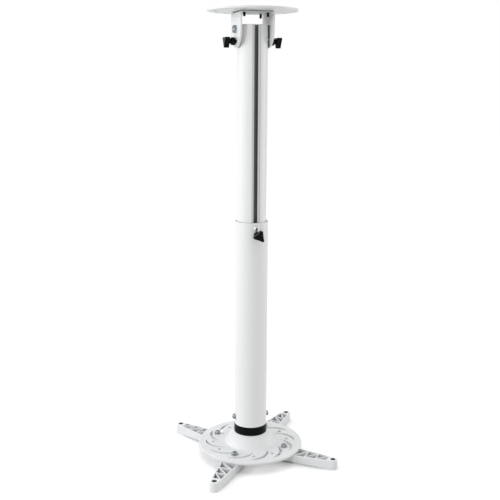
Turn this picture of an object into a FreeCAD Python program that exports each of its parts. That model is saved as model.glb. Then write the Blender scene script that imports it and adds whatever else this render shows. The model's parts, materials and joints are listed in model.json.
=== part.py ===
import FreeCAD, Part

import math
import os

import Sketcher

# Telescopic ceiling mount for a projector. Millimetres, +Z up, the origin in the middle of the
# ceiling plate's upper face, X along the column's tilt axis, the front of the column towards -Y.

# Driving dimensions
SIZES = {
    # Clearances between pieces
    "fit_gap": "0.1",
    "side_gap": "0.35",
    "seat_gap": "0.3",
    "face_gap": "0.2",
    # Round ceiling plate
    "plate_radius": "62",
    "plate_thick": "3",
    "plate_edge": "0.9",
    "slot_circle": "50",
    "hole_circle": "44",
    "fixing_hole": "3.25",
    "fixing_sweep": "18",
    # Folded yoke under the plate
    "sheet_thick": "2.2",
    "bend_radius": "2.5",
    "ear_width": "50",
    "pivot_drop": "26.5",
    "knob_drop": "16",
    "tilt_limit": "15",
    "web_screw_x": "16.5",
    "web_screw_y": "17",
    "web_screw_radius": "2",
    "web_screw_head": "3.9",
    "web_screw_reach": "5.6",
    # Hexagon bolt and nut of the tilt axis and of the swivel head
    "bolt_radius": "3",
    "hex_flat": "10",
    "bolt_head": "4",
    "nut_thick": "5",
    "bolt_end": "1.5",
    # Pan head screws
    "screw_radius": "2.5",
    "screw_head": "4.75",
    "screw_head_high": "3.7",
    "screw_crown": "2.4",
    "recess_reach": "2.6",
    "recess_half": "0.55",
    "recess_deep": "2",
    # Hand knobs with a moulded stud
    "stud_radius": "2.5",
    "stud_deep": "11",
    "lobe_radius": "8.8",
    "lobe_round": "2",
    "waist_radius": "5",
    "knob_head": "7.2",
    "knob_edge": "0.9",
    "neck_radius": "3.6",
    "neck_length": "2.6",
    "collar_radius": "5.4",
    "collar_length": "5.8",
    "collar_round": "1.5",
    "knob_stand": "1",
    "lock_stand": "4.2",
    # Upper column with its open track
    "column_radius": "21.25",
    "column_wall": "2.2",
    "column_above": "5.9",
    "column_length": "320.5",
    "track_recess": "1.7",
    "recess_width": "11.4",
    "slot_width": "5.8",
    "lip_thick": "2",
    "track_width": "11.4",
    "track_deep": "5.2",
    "track_wall": "1.8",
    "clamp_nut": "5",
    "glide_thick": "6",
    "glide_spigot": "10",
    "glide_wall": "4",
    # Lower column
    "sleeve_gap": "0.5",
    "sleeve_wall": "2.25",
    "sleeve_length": "306",
    "sleeve_edge": "0.5",
    "sleeve_overlap": "51",
    "guide_drop": "7.5",
    "lock_drop": "16.5",
    "bar_length": "46",
    "bar_side_gap": "0.4",
    "plug_height": "22",
    "plug_screw_rise": "11",
    "plug_screw_length": "9",
    # Swivel head
    "ring_lip": "0.2",
    "ring_bore": "16",
    "ring_height": "12.9",
    "dome_radius": "40.4",
    "dome_wall": "3",
    "dome_open": "20.5",
    "cup_wall": "2.6",
    "cup_open": "38",
    "saddle_radius": "20",
    "saddle_edge": "1.5",
    "disc_radius": "77",
    "disc_rise": "15.5",
    "disc_thick": "4.2",
    "disc_edge": "1.2",
    "dome_root": "2.5",
    # Holes and swirl of crescents in the disc
    "swirl_count": "12",
    "swirl_angle": "19.5",
    "arm_circle": "55",
    "crescent_centre": "42.8",
    "crescent_lag": "-3",
    "crescent_radius": "24",
    "crescent_start": "101",
    "crescent_end": "-14",
    "crescent_width": "4.7",
    # Arms
    "arm_reach": "76.2",
    "arm_root": "15.4",
    "arm_tip": "6.6",
    "arm_root_high": "9.6",
    "arm_tip_high": "13.8",
    "arm_foot": "10",
    "arm_level": "14",
    "arm_hole": "3.6",
    "arm_rail": "1.5",
    "arm_rib": "1.3",
    "truss_start": "19",
    "truss_end": "7.6",
    "arm_edge": "0.6",
    "washer_radius": "5.8",
    "washer_thick": "1",
    "arm_nut_flat": "8",
    "arm_nut_thick": "4.6",
}
# Cells between the cross ribs of one arm, and the lean of the lock knob's upper lobe from the horizontal
TRUSS_CELLS = 3
LOCK_KNOB_TURN = 68
# Each arm's hole in the disc, counted round from the first one, and its swing from that hole's radius
ARMS = {
    "arm_front_left": (7, 4.2),
    "arm_front_right": (10, 0.4),
    "arm_rear_right": (1, -4),
    "arm_rear_left": (4, -13.4),
}
LEFT = "left"
RIGHT = "right"
ORIGIN_POINT = (-1, 1)
ON_AXIS = {"DistanceX": "Vertical", "DistanceY": "Horizontal"}
UP = FreeCAD.Vector(0, 0, 1)
SIDEWAYS = FreeCAD.Vector(1, 0, 0)

doc = FreeCAD.newDocument("projector_mount")
sheet = doc.addObject("Spreadsheet::Sheet", "dim")
for row, (alias, text) in enumerate(SIZES.items(), 1):
    sheet.set(f"A{row}", alias)
    sheet.set(f"B{row}", text)
    sheet.setAlias(f"B{row}", alias)
doc.recompute()
sub_parts = []

# Levels and sizes that follow from the driving dimensions, as expressions on the sheet
EAR_INSIDE = "(dim.column_radius + dim.side_gap)"
EAR_OUTSIDE = f"({EAR_INSIDE} + dim.sheet_thick)"
PIVOT_Z = "(-dim.pivot_drop)"
KNOB_Z = "(-dim.pivot_drop - dim.knob_drop)"
EAR_END_Z = "(-dim.pivot_drop - dim.ear_width / 2)"
COLUMN_TOP_Z = "(-dim.pivot_drop + dim.column_above)"
COLUMN_BOTTOM_Z = f"({COLUMN_TOP_Z} - dim.column_length)"
COLUMN_BORE = "(dim.column_radius - dim.column_wall)"
LIP_FRONT_Y = "(-dim.column_radius + dim.track_recess)"
TRACK_FRONT_Y = f"({LIP_FRONT_Y} + dim.lip_thick)"
TRACK_BACK_Y = f"({TRACK_FRONT_Y} + dim.track_deep)"
TRACK_WALL_Y = f"({TRACK_BACK_Y} + dim.track_wall)"
TRACK_WALL_X = "(dim.track_width / 2 + dim.track_wall)"
SLEEVE_TOP_Z = f"({COLUMN_BOTTOM_Z} + dim.sleeve_overlap)"
SLEEVE_BOTTOM_Z = f"({SLEEVE_TOP_Z} - dim.sleeve_length)"
SLEEVE_BORE = "(dim.column_radius + dim.sleeve_gap)"
SLEEVE_RADIUS = f"({SLEEVE_BORE} + dim.sleeve_wall)"
LOCK_Z = f"({SLEEVE_TOP_Z} - dim.lock_drop)"
GUIDE_Z = f"({SLEEVE_TOP_Z} - dim.guide_drop)"
BAR_BACK_Y = f"({TRACK_BACK_Y} - dim.seat_gap)"
PLUG_TOP_Z = f"({SLEEVE_BOTTOM_Z} + dim.plug_height)"
PLUG_SCREW_Z = f"({SLEEVE_BOTTOM_Z} + dim.plug_screw_rise)"
SEAT_RADIUS = "(dim.dome_radius + dim.seat_gap)"
RING_RADIUS = f"({SLEEVE_RADIUS} + dim.ring_lip)"
RING_FOOT = f"sqrt({SEAT_RADIUS} ^ 2 - {RING_RADIUS} ^ 2)"
HEAD_Z = f"({SLEEVE_BOTTOM_Z} - dim.ring_height - {RING_FOOT})"
DOME_INSIDE = "(dim.dome_radius - dim.dome_wall)"
CUP_OUTSIDE = f"({DOME_INSIDE} - dim.seat_gap)"
CUP_INSIDE = f"({CUP_OUTSIDE} - dim.cup_wall)"
SADDLE_TOP = f"({CUP_INSIDE} - dim.seat_gap)"
SADDLE_FOOT = f"(sqrt({SADDLE_TOP} ^ 2 - dim.saddle_radius ^ 2) - dim.saddle_edge)"
DISC_UNDER = "(dim.disc_rise - dim.disc_thick)"
ARM_Z = f"({HEAD_Z} + {DISC_UNDER} - dim.face_gap)"
ARM_NUT_Z = f"({ARM_Z} - dim.arm_root_high + dim.face_gap)"
ARM_NUT_TOP = "(dim.arm_nut_thick + 2 * dim.face_gap)"


def value(text):
    """Number that an expression on the sheet gives."""
    return float(sheet.evalExpression(str(text)))


def origin_feature(body, role):
    """Plane or axis of a body's own origin."""
    return next(feature for feature in body.Origin.OriginFeatures if feature.Role == role)


def new_body(label):
    """Empty body that becomes one sub-part."""
    body = doc.addObject("PartDesign::Body", label)
    body.Label = label
    return body


def new_sketch(body, plane, offset="0"):
    """Sketch on one of the body's origin planes, moved along the plane's normal."""
    sketch = body.newObject("Sketcher::SketchObject", f"{body.Name}_sketch")
    sketch.AttachmentSupport = [(origin_feature(body, plane), "")]
    sketch.MapMode = "FlatFace"
    sketch.setExpression("AttachmentOffset.Base.z", offset)
    return sketch


def pin_distance(sketch, kind, point, text):
    """Ties one coordinate of a sketch point to the sheet, where 0 puts it on an axis."""
    if text == "0":
        sketch.addConstraint(Sketcher.Constraint(ON_AXIS[kind], *ORIGIN_POINT, *point))
        return
    datum = Sketcher.Constraint(kind, *ORIGIN_POINT, *point, value(text))
    number = sketch.addConstraint(datum)
    sketch.setExpression(f"Constraints[{number}]", str(text))


def pin_point(sketch, point, across, up):
    """Ties both coordinates of a sketch point."""
    pin_distance(sketch, "DistanceX", point, across)
    pin_distance(sketch, "DistanceY", point, up)


def circle(sketch, across, up, radius):
    """Circle with its centre and radius tied to the sheet."""
    centre = FreeCAD.Vector(value(across), value(up), 0)
    number = sketch.addGeometry(Part.Circle(centre, UP, value(radius)))
    pin_point(sketch, (number, 3), across, up)
    size = sketch.addConstraint(Sketcher.Constraint("Radius", number, value(radius)))
    sketch.setExpression(f"Constraints[{size}]", radius)


def arc_between(start, stop, centre, turn):
    """Arc from start to stop about a centre, turning left or right."""
    first, last = (start, stop) if turn == LEFT else (stop, start)
    begin = math.atan2(first.y - centre.y, first.x - centre.x)
    end = math.atan2(last.y - centre.y, last.x - centre.x)
    if end <= begin:
        end += 2 * math.pi
    return Part.ArcOfCircle(Part.Circle(centre, UP, first.distanceToPoint(centre)), begin, end)


def outline(sketch, corners):
    """Closed outline. A corner (x, y) starts a straight side, and (x, y, centre, turn) starts an arc."""
    spots = [FreeCAD.Vector(value(corner[0]), value(corner[1]), 0) for corner in corners]
    sides = []
    arcs = []
    for corner, start, stop in zip(corners, spots, spots[1:] + spots[:1]):
        if len(corner) == 2:
            number = sketch.addGeometry(Part.LineSegment(start, stop))
            sides.append(((number, 1), (number, 2)))
            continue
        across, up = corner[2]
        middle = FreeCAD.Vector(value(across), value(up), 0)
        number = sketch.addGeometry(arc_between(start, stop, middle, corner[3]))
        ends = ((number, 1), (number, 2))
        sides.append(ends if corner[3] == LEFT else ends[::-1])
        arcs.append((number, stop - start, across, up))
    for side, following in zip(sides, sides[1:] + sides[:1]):
        sketch.addConstraint(Sketcher.Constraint("Coincident", *side[1], *following[0]))
    for side, corner in zip(sides, corners):
        pin_point(sketch, side[0], corner[0], corner[1])
    for number, chord, across, up in arcs:
        upright = abs(chord.y) > abs(chord.x)
        kind, text = ("DistanceX", across) if upright else ("DistanceY", up)
        pin_distance(sketch, kind, (number, 3), text)


def ring_slot(sketch, centre_up, radius, half_width, middle, sweep):
    """Slot along an arc, with round ends, about a centre on the sketch's upright axis."""
    def spot(reach, angle):
        return f"({reach}) * cos({angle})", f"{centre_up} + ({reach}) * sin({angle})"
    first = f"({middle} - {sweep})"
    last = f"({middle} + {sweep})"
    inner = f"{radius} - {half_width}"
    outer = f"{radius} + {half_width}"
    centre = ("0", centre_up)
    outline(sketch, [
        (*spot(outer, first), centre, LEFT),
        (*spot(outer, last), spot(radius, last), LEFT),
        (*spot(inner, last), centre, RIGHT),
        (*spot(inner, first), spot(radius, first), LEFT),
    ])


def add_feature(body, kind, sketch):
    """Solid feature from a sketch, set up after the body is brought up to date."""
    doc.recompute()
    feature = body.newObject(f"PartDesign::{kind}", f"{body.Name}_{kind.lower()}")
    feature.Profile = sketch
    return feature


def pad(body, sketch, length, reverse=False, both=False):
    """Extrusion of a sketch, on one side of it or evenly on both."""
    feature = add_feature(body, "Pad", sketch)
    feature.SideType = "Symmetric" if both else "One side"
    feature.Reversed = reverse
    feature.setExpression("Length", length)
    doc.recompute()
    return feature


def pocket(body, sketch, length, reverse=False, both=False):
    """Cut of a sketch into the body, which has to take material away."""
    before = body.Shape.Volume
    feature = add_feature(body, "Pocket", sketch)
    feature.SideType = "Symmetric" if both else "One side"
    feature.Reversed = reverse
    feature.setExpression("Length", length)
    doc.recompute()
    if body.Shape.Volume >= before:
        raise ValueError(f"{feature.Label} cuts nothing")
    return feature


def revolve(body, sketch):
    """Full turn of a sketch about its upright axis."""
    feature = add_feature(body, "Revolution", sketch)
    feature.ReferenceAxis = (sketch, ["V_Axis"])
    feature.Angle = 360
    doc.recompute()
    return feature


def around(body, feature, count):
    """Copies of a feature around the body's own Z axis."""
    pattern = body.newObject("PartDesign::PolarPattern", f"{body.Name}_pattern")
    pattern.Originals = [feature]
    pattern.Axis = (origin_feature(body, "Z_Axis"), [""])
    pattern.Angle = 360
    pattern.setExpression("Occurrences", count)
    body.Tip = pattern
    doc.recompute()
    return pattern


def dress_edges(body, kind, size, chosen):
    """Fillet or chamfer on the edges that a test picks out."""
    base = body.Tip
    names = [f"Edge{number}" for number, edge in enumerate(base.Shape.Edges, 1) if chosen(edge)]
    feature = body.newObject(f"PartDesign::{kind}", f"{body.Name}_{kind.lower()}")
    feature.Base = (base, names)
    feature.setExpression("Radius" if kind == "Fillet" else "Size", size)
    doc.recompute()
    return feature


def at_level(edge, level):
    """True for an edge that lies flat at one height."""
    slack = 1e-4
    return abs(edge.BoundBox.ZMin - level) < slack and abs(edge.BoundBox.ZMax - level) < slack


def is_ring(edge, radius, level):
    """True for a round edge of one radius at one height."""
    same_size = isinstance(edge.Curve, Part.Circle) and abs(edge.Curve.Radius - radius) < 1e-4
    return same_size and at_level(edge, level)


def place(thing, across="0", along="0", up="0", turn=None):
    """Puts a finished piece in the mount's frame, with its position tied to the sheet."""
    thing.Placement = FreeCAD.Placement(FreeCAD.Vector(), turn or FreeCAD.Rotation())
    for axis, text in (("x", across), ("y", along), ("z", up)):
        thing.setExpression(f"Placement.Base.{axis}", text)


def finish(thing, label=None):
    """Keeps a piece as a sub-part of its own."""
    thing.Label = label or thing.Label
    sub_parts.append(thing)
    return thing


def copies(label, source, spots):
    """Group of like pieces, one at each (x, y, z, rotation)."""
    links = []
    for across, along, up, turn in spots:
        link = doc.addObject("App::Link", f"{label}_copy")
        link.LinkedObject = source
        place(link, across, along, up, turn)
        links.append(link)
    group = doc.addObject("Part::Compound", label)
    group.Links = links
    return finish(group, label)


def cylinder(name, radius, length):
    """Round bar along Z from its own origin."""
    bar = doc.addObject("Part::Cylinder", name)
    bar.setExpression("Radius", radius)
    bar.setExpression("Height", length)
    return bar


def hexagon(name, flat, length):
    """Six-sided bar along Z from its own origin, by its width across flats."""
    bar = doc.addObject("Part::Prism", name)
    bar.Polygon = 6
    bar.setExpression("Circumradius", f"{flat} / 2 / cos(30)")
    bar.setExpression("Height", length)
    return bar


def cut(label, base, tool):
    """First shape less the second."""
    result = doc.addObject("Part::Cut", label)
    result.Base = base
    result.Tool = tool
    return result


def hex_bolt(label, length):
    """Hexagon bolt: the head rises from its seat at 0 and the shank hangs below it."""
    head = hexagon(f"{label}_head", "dim.hex_flat", "dim.bolt_head")
    shank = cylinder(f"{label}_shank", "dim.bolt_radius", length)
    shank.setExpression("Placement.Base.z", f"-({length})")
    bolt = doc.addObject("Part::Fuse", label)
    bolt.Base = head
    bolt.Tool = shank
    return bolt


def hex_nut(label, flat, thick, bore):
    """Hexagon nut on its own Z axis."""
    return cut(label, hexagon(f"{label}_blank", flat, thick), cylinder(f"{label}_bore", bore, thick))


def pan_screw(label, length):
    """Pan head screw: the head rises from its seat at 0 and has a cross recess."""
    body = new_body(label)
    profile = new_sketch(body, "XZ_Plane")
    outline(profile, [
        ("0", f"-({length})"),
        ("dim.screw_radius", f"-({length})"),
        ("dim.screw_radius", "0"),
        ("dim.screw_head", "0"),
        ("dim.screw_head", "dim.screw_head_high"),
        ("0", "dim.screw_head_high"),
    ])
    revolve(body, profile)
    top = value("dim.screw_head_high")
    dress_edges(body, "Fillet", "dim.screw_crown", lambda edge: at_level(edge, top))
    reach, half = "dim.recess_reach", "dim.recess_half"
    recess = new_sketch(body, "XY_Plane", "dim.screw_head_high")
    outline(recess, [
        (reach, f"-{half}"), (reach, half), (half, half),
        (half, reach), (f"-{half}", reach), (f"-{half}", half),
        (f"-{reach}", half), (f"-{reach}", f"-{half}"), (f"-{half}", f"-{half}"),
        (f"-{half}", f"-{reach}"), (half, f"-{reach}"), (half, f"-{half}"),
    ])
    pocket(body, recess, "dim.recess_deep")
    return body


def lobed_outline(sketch):
    """Three round lobes joined by hollow sides, each side an arc tangent to two lobes."""
    lobe = value("dim.lobe_radius - dim.lobe_round")
    rounding = value("dim.lobe_round")
    rise = value("dim.waist_radius - dim.lobe_round")
    hollow = (rise ** 2 - lobe ** 2) / (2 * rise - lobe)
    corners = []
    for number in range(3):
        lobe_turn = math.radians(120 * number)
        lobe_spot = FreeCAD.Vector(lobe * math.cos(lobe_turn), lobe * math.sin(lobe_turn), 0)
        sides = []
        for side in (-1, 1):
            turn = lobe_turn + side * math.radians(60)
            spot = FreeCAD.Vector(hollow * math.cos(turn), hollow * math.sin(turn), 0)
            sides.append((spot, lobe_spot + (spot - lobe_spot).normalize() * rounding))
        (_, before), (following, after) = sides
        corners.append((before.x, before.y, (lobe_spot.x, lobe_spot.y), LEFT))
        corners.append((after.x, after.y, (following.x, following.y), RIGHT))
    outline(sketch, corners)


def hand_knob(label):
    """Three-lobed knob: collar at 0, neck, then the head, with a blind bore for its stud."""
    body = new_body(label)
    stem = new_sketch(body, "XZ_Plane")
    head_at = "dim.collar_length + dim.neck_length"
    outline(stem, [
        ("0", "0"),
        ("dim.collar_radius", "0"),
        ("dim.collar_radius", "dim.collar_length"),
        ("dim.neck_radius", "dim.collar_length"),
        ("dim.neck_radius", head_at),
        ("0", head_at),
    ])
    revolve(body, stem)
    collar_top = value("dim.collar_length")
    collar = value("dim.collar_radius")
    step = "dim.collar_radius - dim.neck_radius"
    dress_edges(body, "Fillet", f"min(dim.collar_round; ({step}) * 9 / 10)",
                lambda edge: is_ring(edge, collar, 0) or is_ring(edge, collar, collar_top))
    head = new_sketch(body, "XY_Plane", head_at)
    lobed_outline(head)
    pad(body, head, "dim.knob_head")
    face = value(f"{head_at} + dim.knob_head")
    back = value(head_at)
    neck = value("dim.neck_radius")
    dress_edges(body, "Fillet", "dim.knob_edge",
                lambda edge: at_level(edge, face) or (at_level(edge, back) and not is_ring(edge, neck, back)))
    bore = new_sketch(body, "XY_Plane")
    circle(bore, "0", "0", "dim.stud_radius + dim.fit_gap / 2")
    pocket(body, bore, "dim.stud_deep", reverse=True)
    return body


# Ceiling plate: a round steel disc with four fixing holes and four arc slots between them
plate = new_body("ceiling_plate")
plate_disc = new_sketch(plate, "XY_Plane")
circle(plate_disc, "0", "0", "dim.plate_radius")
pad(plate, plate_disc, "dim.plate_thick", reverse=True)
plate_under = -value("dim.plate_thick")
dress_edges(plate, "Fillet", "dim.plate_edge", lambda edge: at_level(edge, plate_under))
plate_slot = new_sketch(plate, "XY_Plane")
ring_slot(plate_slot, "0", "dim.slot_circle", "dim.fixing_hole", "0", "dim.fixing_sweep")
around(plate, pocket(plate, plate_slot, "2 * dim.plate_thick"), "4")
plate_hole = new_sketch(plate, "XY_Plane")
circle(plate_hole, "dim.hole_circle * cos(45)", "dim.hole_circle * sin(45)", "dim.fixing_hole")
around(plate, pocket(plate, plate_hole, "2 * dim.plate_thick"), "4")
web_signs = [(side, front) for side in ("", "-") for front in ("", "-")]
plate_screw_holes = new_sketch(plate, "XY_Plane")
for side, front in web_signs:
    circle(plate_screw_holes, f"{side}dim.web_screw_x", f"{front}dim.web_screw_y",
           "dim.web_screw_radius + dim.fit_gap")
pocket(plate, plate_screw_holes, "2 * dim.plate_thick")
web_hole = value("dim.web_screw_radius + dim.fit_gap")
dress_edges(plate, "Chamfer", "dim.web_screw_head - dim.web_screw_radius",
            lambda edge: is_ring(edge, web_hole, 0))
finish(plate)

# Yoke: one folded sheet, its web under the plate and its two ears beside the column
yoke = new_body("yoke_bracket")
bend_x = f"({EAR_INSIDE} - dim.bend_radius)"
bend_z = "(-dim.plate_thick - dim.sheet_thick - dim.bend_radius)"
web_under = "(-dim.plate_thick - dim.sheet_thick)"
right_bend = (bend_x, bend_z)
left_bend = (f"-{bend_x}", bend_z)
fold = new_sketch(yoke, "XZ_Plane")
outline(fold, [
    (f"-{EAR_OUTSIDE}", EAR_END_Z),
    (f"-{EAR_OUTSIDE}", bend_z, left_bend, RIGHT),
    (f"-{bend_x}", "-dim.plate_thick"),
    (bend_x, "-dim.plate_thick", right_bend, RIGHT),
    (EAR_OUTSIDE, bend_z),
    (EAR_OUTSIDE, EAR_END_Z),
    (EAR_INSIDE, EAR_END_Z),
    (EAR_INSIDE, bend_z, right_bend, LEFT),
    (bend_x, web_under),
    (f"-{bend_x}", web_under, left_bend, LEFT),
    (f"-{EAR_INSIDE}", bend_z),
    (f"-{EAR_INSIDE}", EAR_END_Z),
])
pad(yoke, fold, "dim.ear_width", both=True)
ear_side = "dim.ear_width / 2"
waste_side = "dim.ear_width"
waste_end = "(-dim.pivot_drop - dim.ear_width)"
through_ears = f"3 * {EAR_OUTSIDE}"
ear_ends = new_sketch(yoke, "YZ_Plane")
outline(ear_ends, [
    (f"-{ear_side}", PIVOT_Z, ("0", PIVOT_Z), LEFT),
    (ear_side, PIVOT_Z),
    (waste_side, PIVOT_Z),
    (waste_side, waste_end),
    (f"-{waste_side}", waste_end),
    (f"-{waste_side}", PIVOT_Z),
])
pocket(yoke, ear_ends, through_ears, both=True)
ear_holes = new_sketch(yoke, "YZ_Plane")
circle(ear_holes, "0", PIVOT_Z, "dim.bolt_radius + dim.fit_gap")
ring_slot(ear_holes, PIVOT_Z, "dim.knob_drop", "(dim.stud_radius + dim.side_gap)", "-90",
          "(dim.tilt_limit + 2)")
pocket(yoke, ear_holes, through_ears, both=True)
web_holes = new_sketch(yoke, "XY_Plane")
for side, front in web_signs:
    circle(web_holes, f"{side}dim.web_screw_x", f"{front}dim.web_screw_y",
           "dim.web_screw_radius + dim.fit_gap")
pocket(yoke, web_holes, f"-2 * {web_under}")
finish(yoke)

# Countersunk screws that hold the yoke to the plate, their ends hanging below the web
web_screw = new_body("web_screw")
web_profile = new_sketch(web_screw, "XZ_Plane")
web_end = f"{web_under} - dim.web_screw_reach"
outline(web_profile, [
    ("0", web_end),
    ("dim.web_screw_radius", web_end),
    ("dim.web_screw_radius", "dim.web_screw_radius - dim.web_screw_head"),
    ("dim.web_screw_head", "0"),
    ("0", "0"),
])
revolve(web_screw, web_profile)
copies("bracket_screws", web_screw, [
    (f"{side}dim.web_screw_x", f"{front}dim.web_screw_y", "0", None) for side, front in web_signs
])

# Tilt axis: a bolt through both ears and the column, and its nut
towards_left = FreeCAD.Rotation(UP, SIDEWAYS.negative())
towards_right = FreeCAD.Rotation(UP, SIDEWAYS)
towards_front = FreeCAD.Rotation(UP, FreeCAD.Vector(0, -1, 0))
level_flats = FreeCAD.Rotation(UP, 30)
pivot_bolt = hex_bolt("pivot_bolt", f"2 * {EAR_OUTSIDE} + dim.nut_thick + dim.bolt_end")
place(pivot_bolt, f"-{EAR_OUTSIDE}", "0", PIVOT_Z, towards_left * level_flats)
finish(pivot_bolt)
pivot_nut = hex_nut("pivot_nut", "dim.hex_flat", "dim.nut_thick", "dim.bolt_radius + dim.fit_gap")
place(pivot_nut, EAR_OUTSIDE, "0", PIVOT_Z, towards_right * level_flats)
finish(pivot_nut)

# Upper column: a round tube drawn with an open track down its front
column = new_body("upper_tube")
section = new_sketch(column, "XY_Plane", COLUMN_TOP_Z)
recess_x = "(dim.recess_width / 2)"
recess_y = f"(-sqrt(dim.column_radius ^ 2 - {recess_x} ^ 2))"
slot_x = "(dim.slot_width / 2)"
track_x = "(dim.track_width / 2)"
outline(section, [
    (recess_x, recess_y, ("0", "0"), LEFT),
    (f"-{recess_x}", recess_y),
    (f"-{recess_x}", LIP_FRONT_Y),
    (f"-{slot_x}", LIP_FRONT_Y),
    (f"-{slot_x}", TRACK_FRONT_Y),
    (f"-{track_x}", TRACK_FRONT_Y),
    (f"-{track_x}", TRACK_BACK_Y),
    (track_x, TRACK_BACK_Y),
    (track_x, TRACK_FRONT_Y),
    (slot_x, TRACK_FRONT_Y),
    (slot_x, LIP_FRONT_Y),
    (recess_x, LIP_FRONT_Y),
])
bore_y = f"(-sqrt({COLUMN_BORE} ^ 2 - {TRACK_WALL_X} ^ 2))"
outline(section, [
    (TRACK_WALL_X, bore_y, ("0", "0"), LEFT),
    (f"-{TRACK_WALL_X}", bore_y),
    (f"-{TRACK_WALL_X}", TRACK_WALL_Y),
    (TRACK_WALL_X, TRACK_WALL_Y),
])
pad(column, section, "dim.column_length", reverse=True)
column_holes = new_sketch(column, "YZ_Plane")
circle(column_holes, "0", PIVOT_Z, "dim.bolt_radius + dim.fit_gap")
circle(column_holes, "0", KNOB_Z, "dim.stud_radius + dim.fit_gap")
pocket(column, column_holes, "3 * dim.column_radius", both=True)
finish(column)

# Clamp nuts welded inside the column, each with one face rounded to the tube's bore
clamp_blank = hexagon("clamp_blank", "dim.hex_flat", "dim.clamp_nut")
place(clamp_blank, f"{COLUMN_BORE} - dim.clamp_nut", "0", KNOB_Z, towards_right)
clamp_bed = cylinder("clamp_bed", COLUMN_BORE, "2 * dim.hex_flat")
place(clamp_bed, "0", "0", f"{KNOB_Z} - dim.hex_flat")
clamp_saddle = doc.addObject("Part::Common", "clamp_saddle")
clamp_saddle.Base = clamp_blank
clamp_saddle.Tool = clamp_bed
clamp_bore = cylinder("clamp_bore", "dim.stud_radius + dim.fit_gap", "2 * dim.column_radius")
place(clamp_bore, "0", "0", KNOB_Z, towards_right)
clamp_nut = cut("clamp_nut", clamp_saddle, clamp_bore)
about = FreeCAD.Rotation(UP, 180)
copies("clamp_nuts", clamp_nut, [("0", "0", "0", None), ("0", "0", "0", about)])

# Glide cap: closes the track's lower end and steadies the column in the sleeve
glide = new_body("glide_cap")
flange = new_sketch(glide, "XY_Plane")
circle(flange, "0", "0", f"{SLEEVE_BORE} - dim.seat_gap")
circle(flange, "0", "0", f"{COLUMN_BORE} - dim.glide_wall")
pad(glide, flange, "dim.glide_thick", reverse=True)
spigot = new_sketch(glide, "XY_Plane")
circle(spigot, "0", "0", f"{COLUMN_BORE} - dim.fit_gap")
circle(spigot, "0", "0", f"{COLUMN_BORE} - dim.glide_wall")
pad(glide, spigot, "dim.glide_spigot")
notch = new_sketch(glide, "XY_Plane")
notch_x = f"({TRACK_WALL_X} + dim.side_gap)"
notch_back = f"({TRACK_WALL_Y} + dim.side_gap)"
outline(notch, [
    (notch_x, "-dim.column_radius"),
    (notch_x, notch_back),
    (f"-{notch_x}", notch_back),
    (f"-{notch_x}", "-dim.column_radius"),
])
pocket(glide, notch, "2 * dim.glide_spigot", reverse=True)
place(glide, "0", "0", COLUMN_BOTTOM_Z)
finish(glide)

# Tilt clamps: a lobed hand knob on a stud at each ear
tilt_turns = {"left": ("-", towards_left * about), "right": ("", towards_right)}
stud_inside = f"({COLUMN_BORE} - dim.clamp_nut)"
collar_at = f"({EAR_OUTSIDE} + dim.knob_stand)"
for name, (sign, turn) in tilt_turns.items():
    knob = hand_knob(f"tilt_knob_{name}")
    place(knob, f"{sign}{collar_at}", "0", KNOB_Z, turn)
    finish(knob)
    stud = cylinder(f"tilt_stud_{name}", "dim.stud_radius", f"{collar_at} + dim.stud_deep - {stud_inside}")
    place(stud, f"{sign}{stud_inside}", "0", KNOB_Z, turn)
    finish(stud)

# Lower column: a plain sleeve over the upper one, drilled for its guide, lock and plug screws
sleeve = new_body("lower_tube")
sleeve_ring = new_sketch(sleeve, "XY_Plane", SLEEVE_TOP_Z)
circle(sleeve_ring, "0", "0", SLEEVE_RADIUS)
circle(sleeve_ring, "0", "0", SLEEVE_BORE)
pad(sleeve, sleeve_ring, "dim.sleeve_length", reverse=True)
sleeve_top = value(SLEEVE_TOP_Z)
dress_edges(sleeve, "Fillet", "dim.sleeve_edge", lambda edge: at_level(edge, sleeve_top))
front_holes = new_sketch(sleeve, "XZ_Plane")
circle(front_holes, "0", GUIDE_Z, "dim.screw_radius + dim.fit_gap")
circle(front_holes, "0", LOCK_Z, "dim.stud_radius + dim.fit_gap")
pocket(sleeve, front_holes, f"2 * {SLEEVE_RADIUS}", reverse=True)
side_holes = new_sketch(sleeve, "YZ_Plane")
circle(side_holes, "0", PLUG_SCREW_Z, "dim.screw_radius + dim.fit_gap")
pocket(sleeve, side_holes, f"3 * {SLEEVE_RADIUS}", both=True)
finish(sleeve)

# Slide bar: the steel bar in the track that the guide screw and the lock stud thread into
bar = new_body("slide_bar")
bar_plan = new_sketch(bar, "XY_Plane", f"{COLUMN_BOTTOM_Z} + dim.face_gap")
bar_x = f"({track_x} - dim.bar_side_gap)"
bar_front = f"({TRACK_FRONT_Y} + dim.seat_gap)"
outline(bar_plan, [
    (bar_x, bar_front),
    (bar_x, BAR_BACK_Y),
    (f"-{bar_x}", BAR_BACK_Y),
    (f"-{bar_x}", bar_front),
])
pad(bar, bar_plan, "dim.bar_length")
bar_holes = new_sketch(bar, "XZ_Plane")
circle(bar_holes, "0", GUIDE_Z, "dim.screw_radius + dim.fit_gap / 2")
circle(bar_holes, "0", LOCK_Z, "dim.stud_radius + dim.fit_gap")
pocket(bar, bar_holes, f"2 * {SLEEVE_RADIUS}", both=True)
finish(bar)

# Guide screw above the lock, through the sleeve and the track's slot into the bar
guide = pan_screw("guide_screw", f"{SLEEVE_RADIUS} + {BAR_BACK_Y}")
place(guide, "0", f"-{SLEEVE_RADIUS}", GUIDE_Z, towards_front)
finish(guide)

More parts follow.
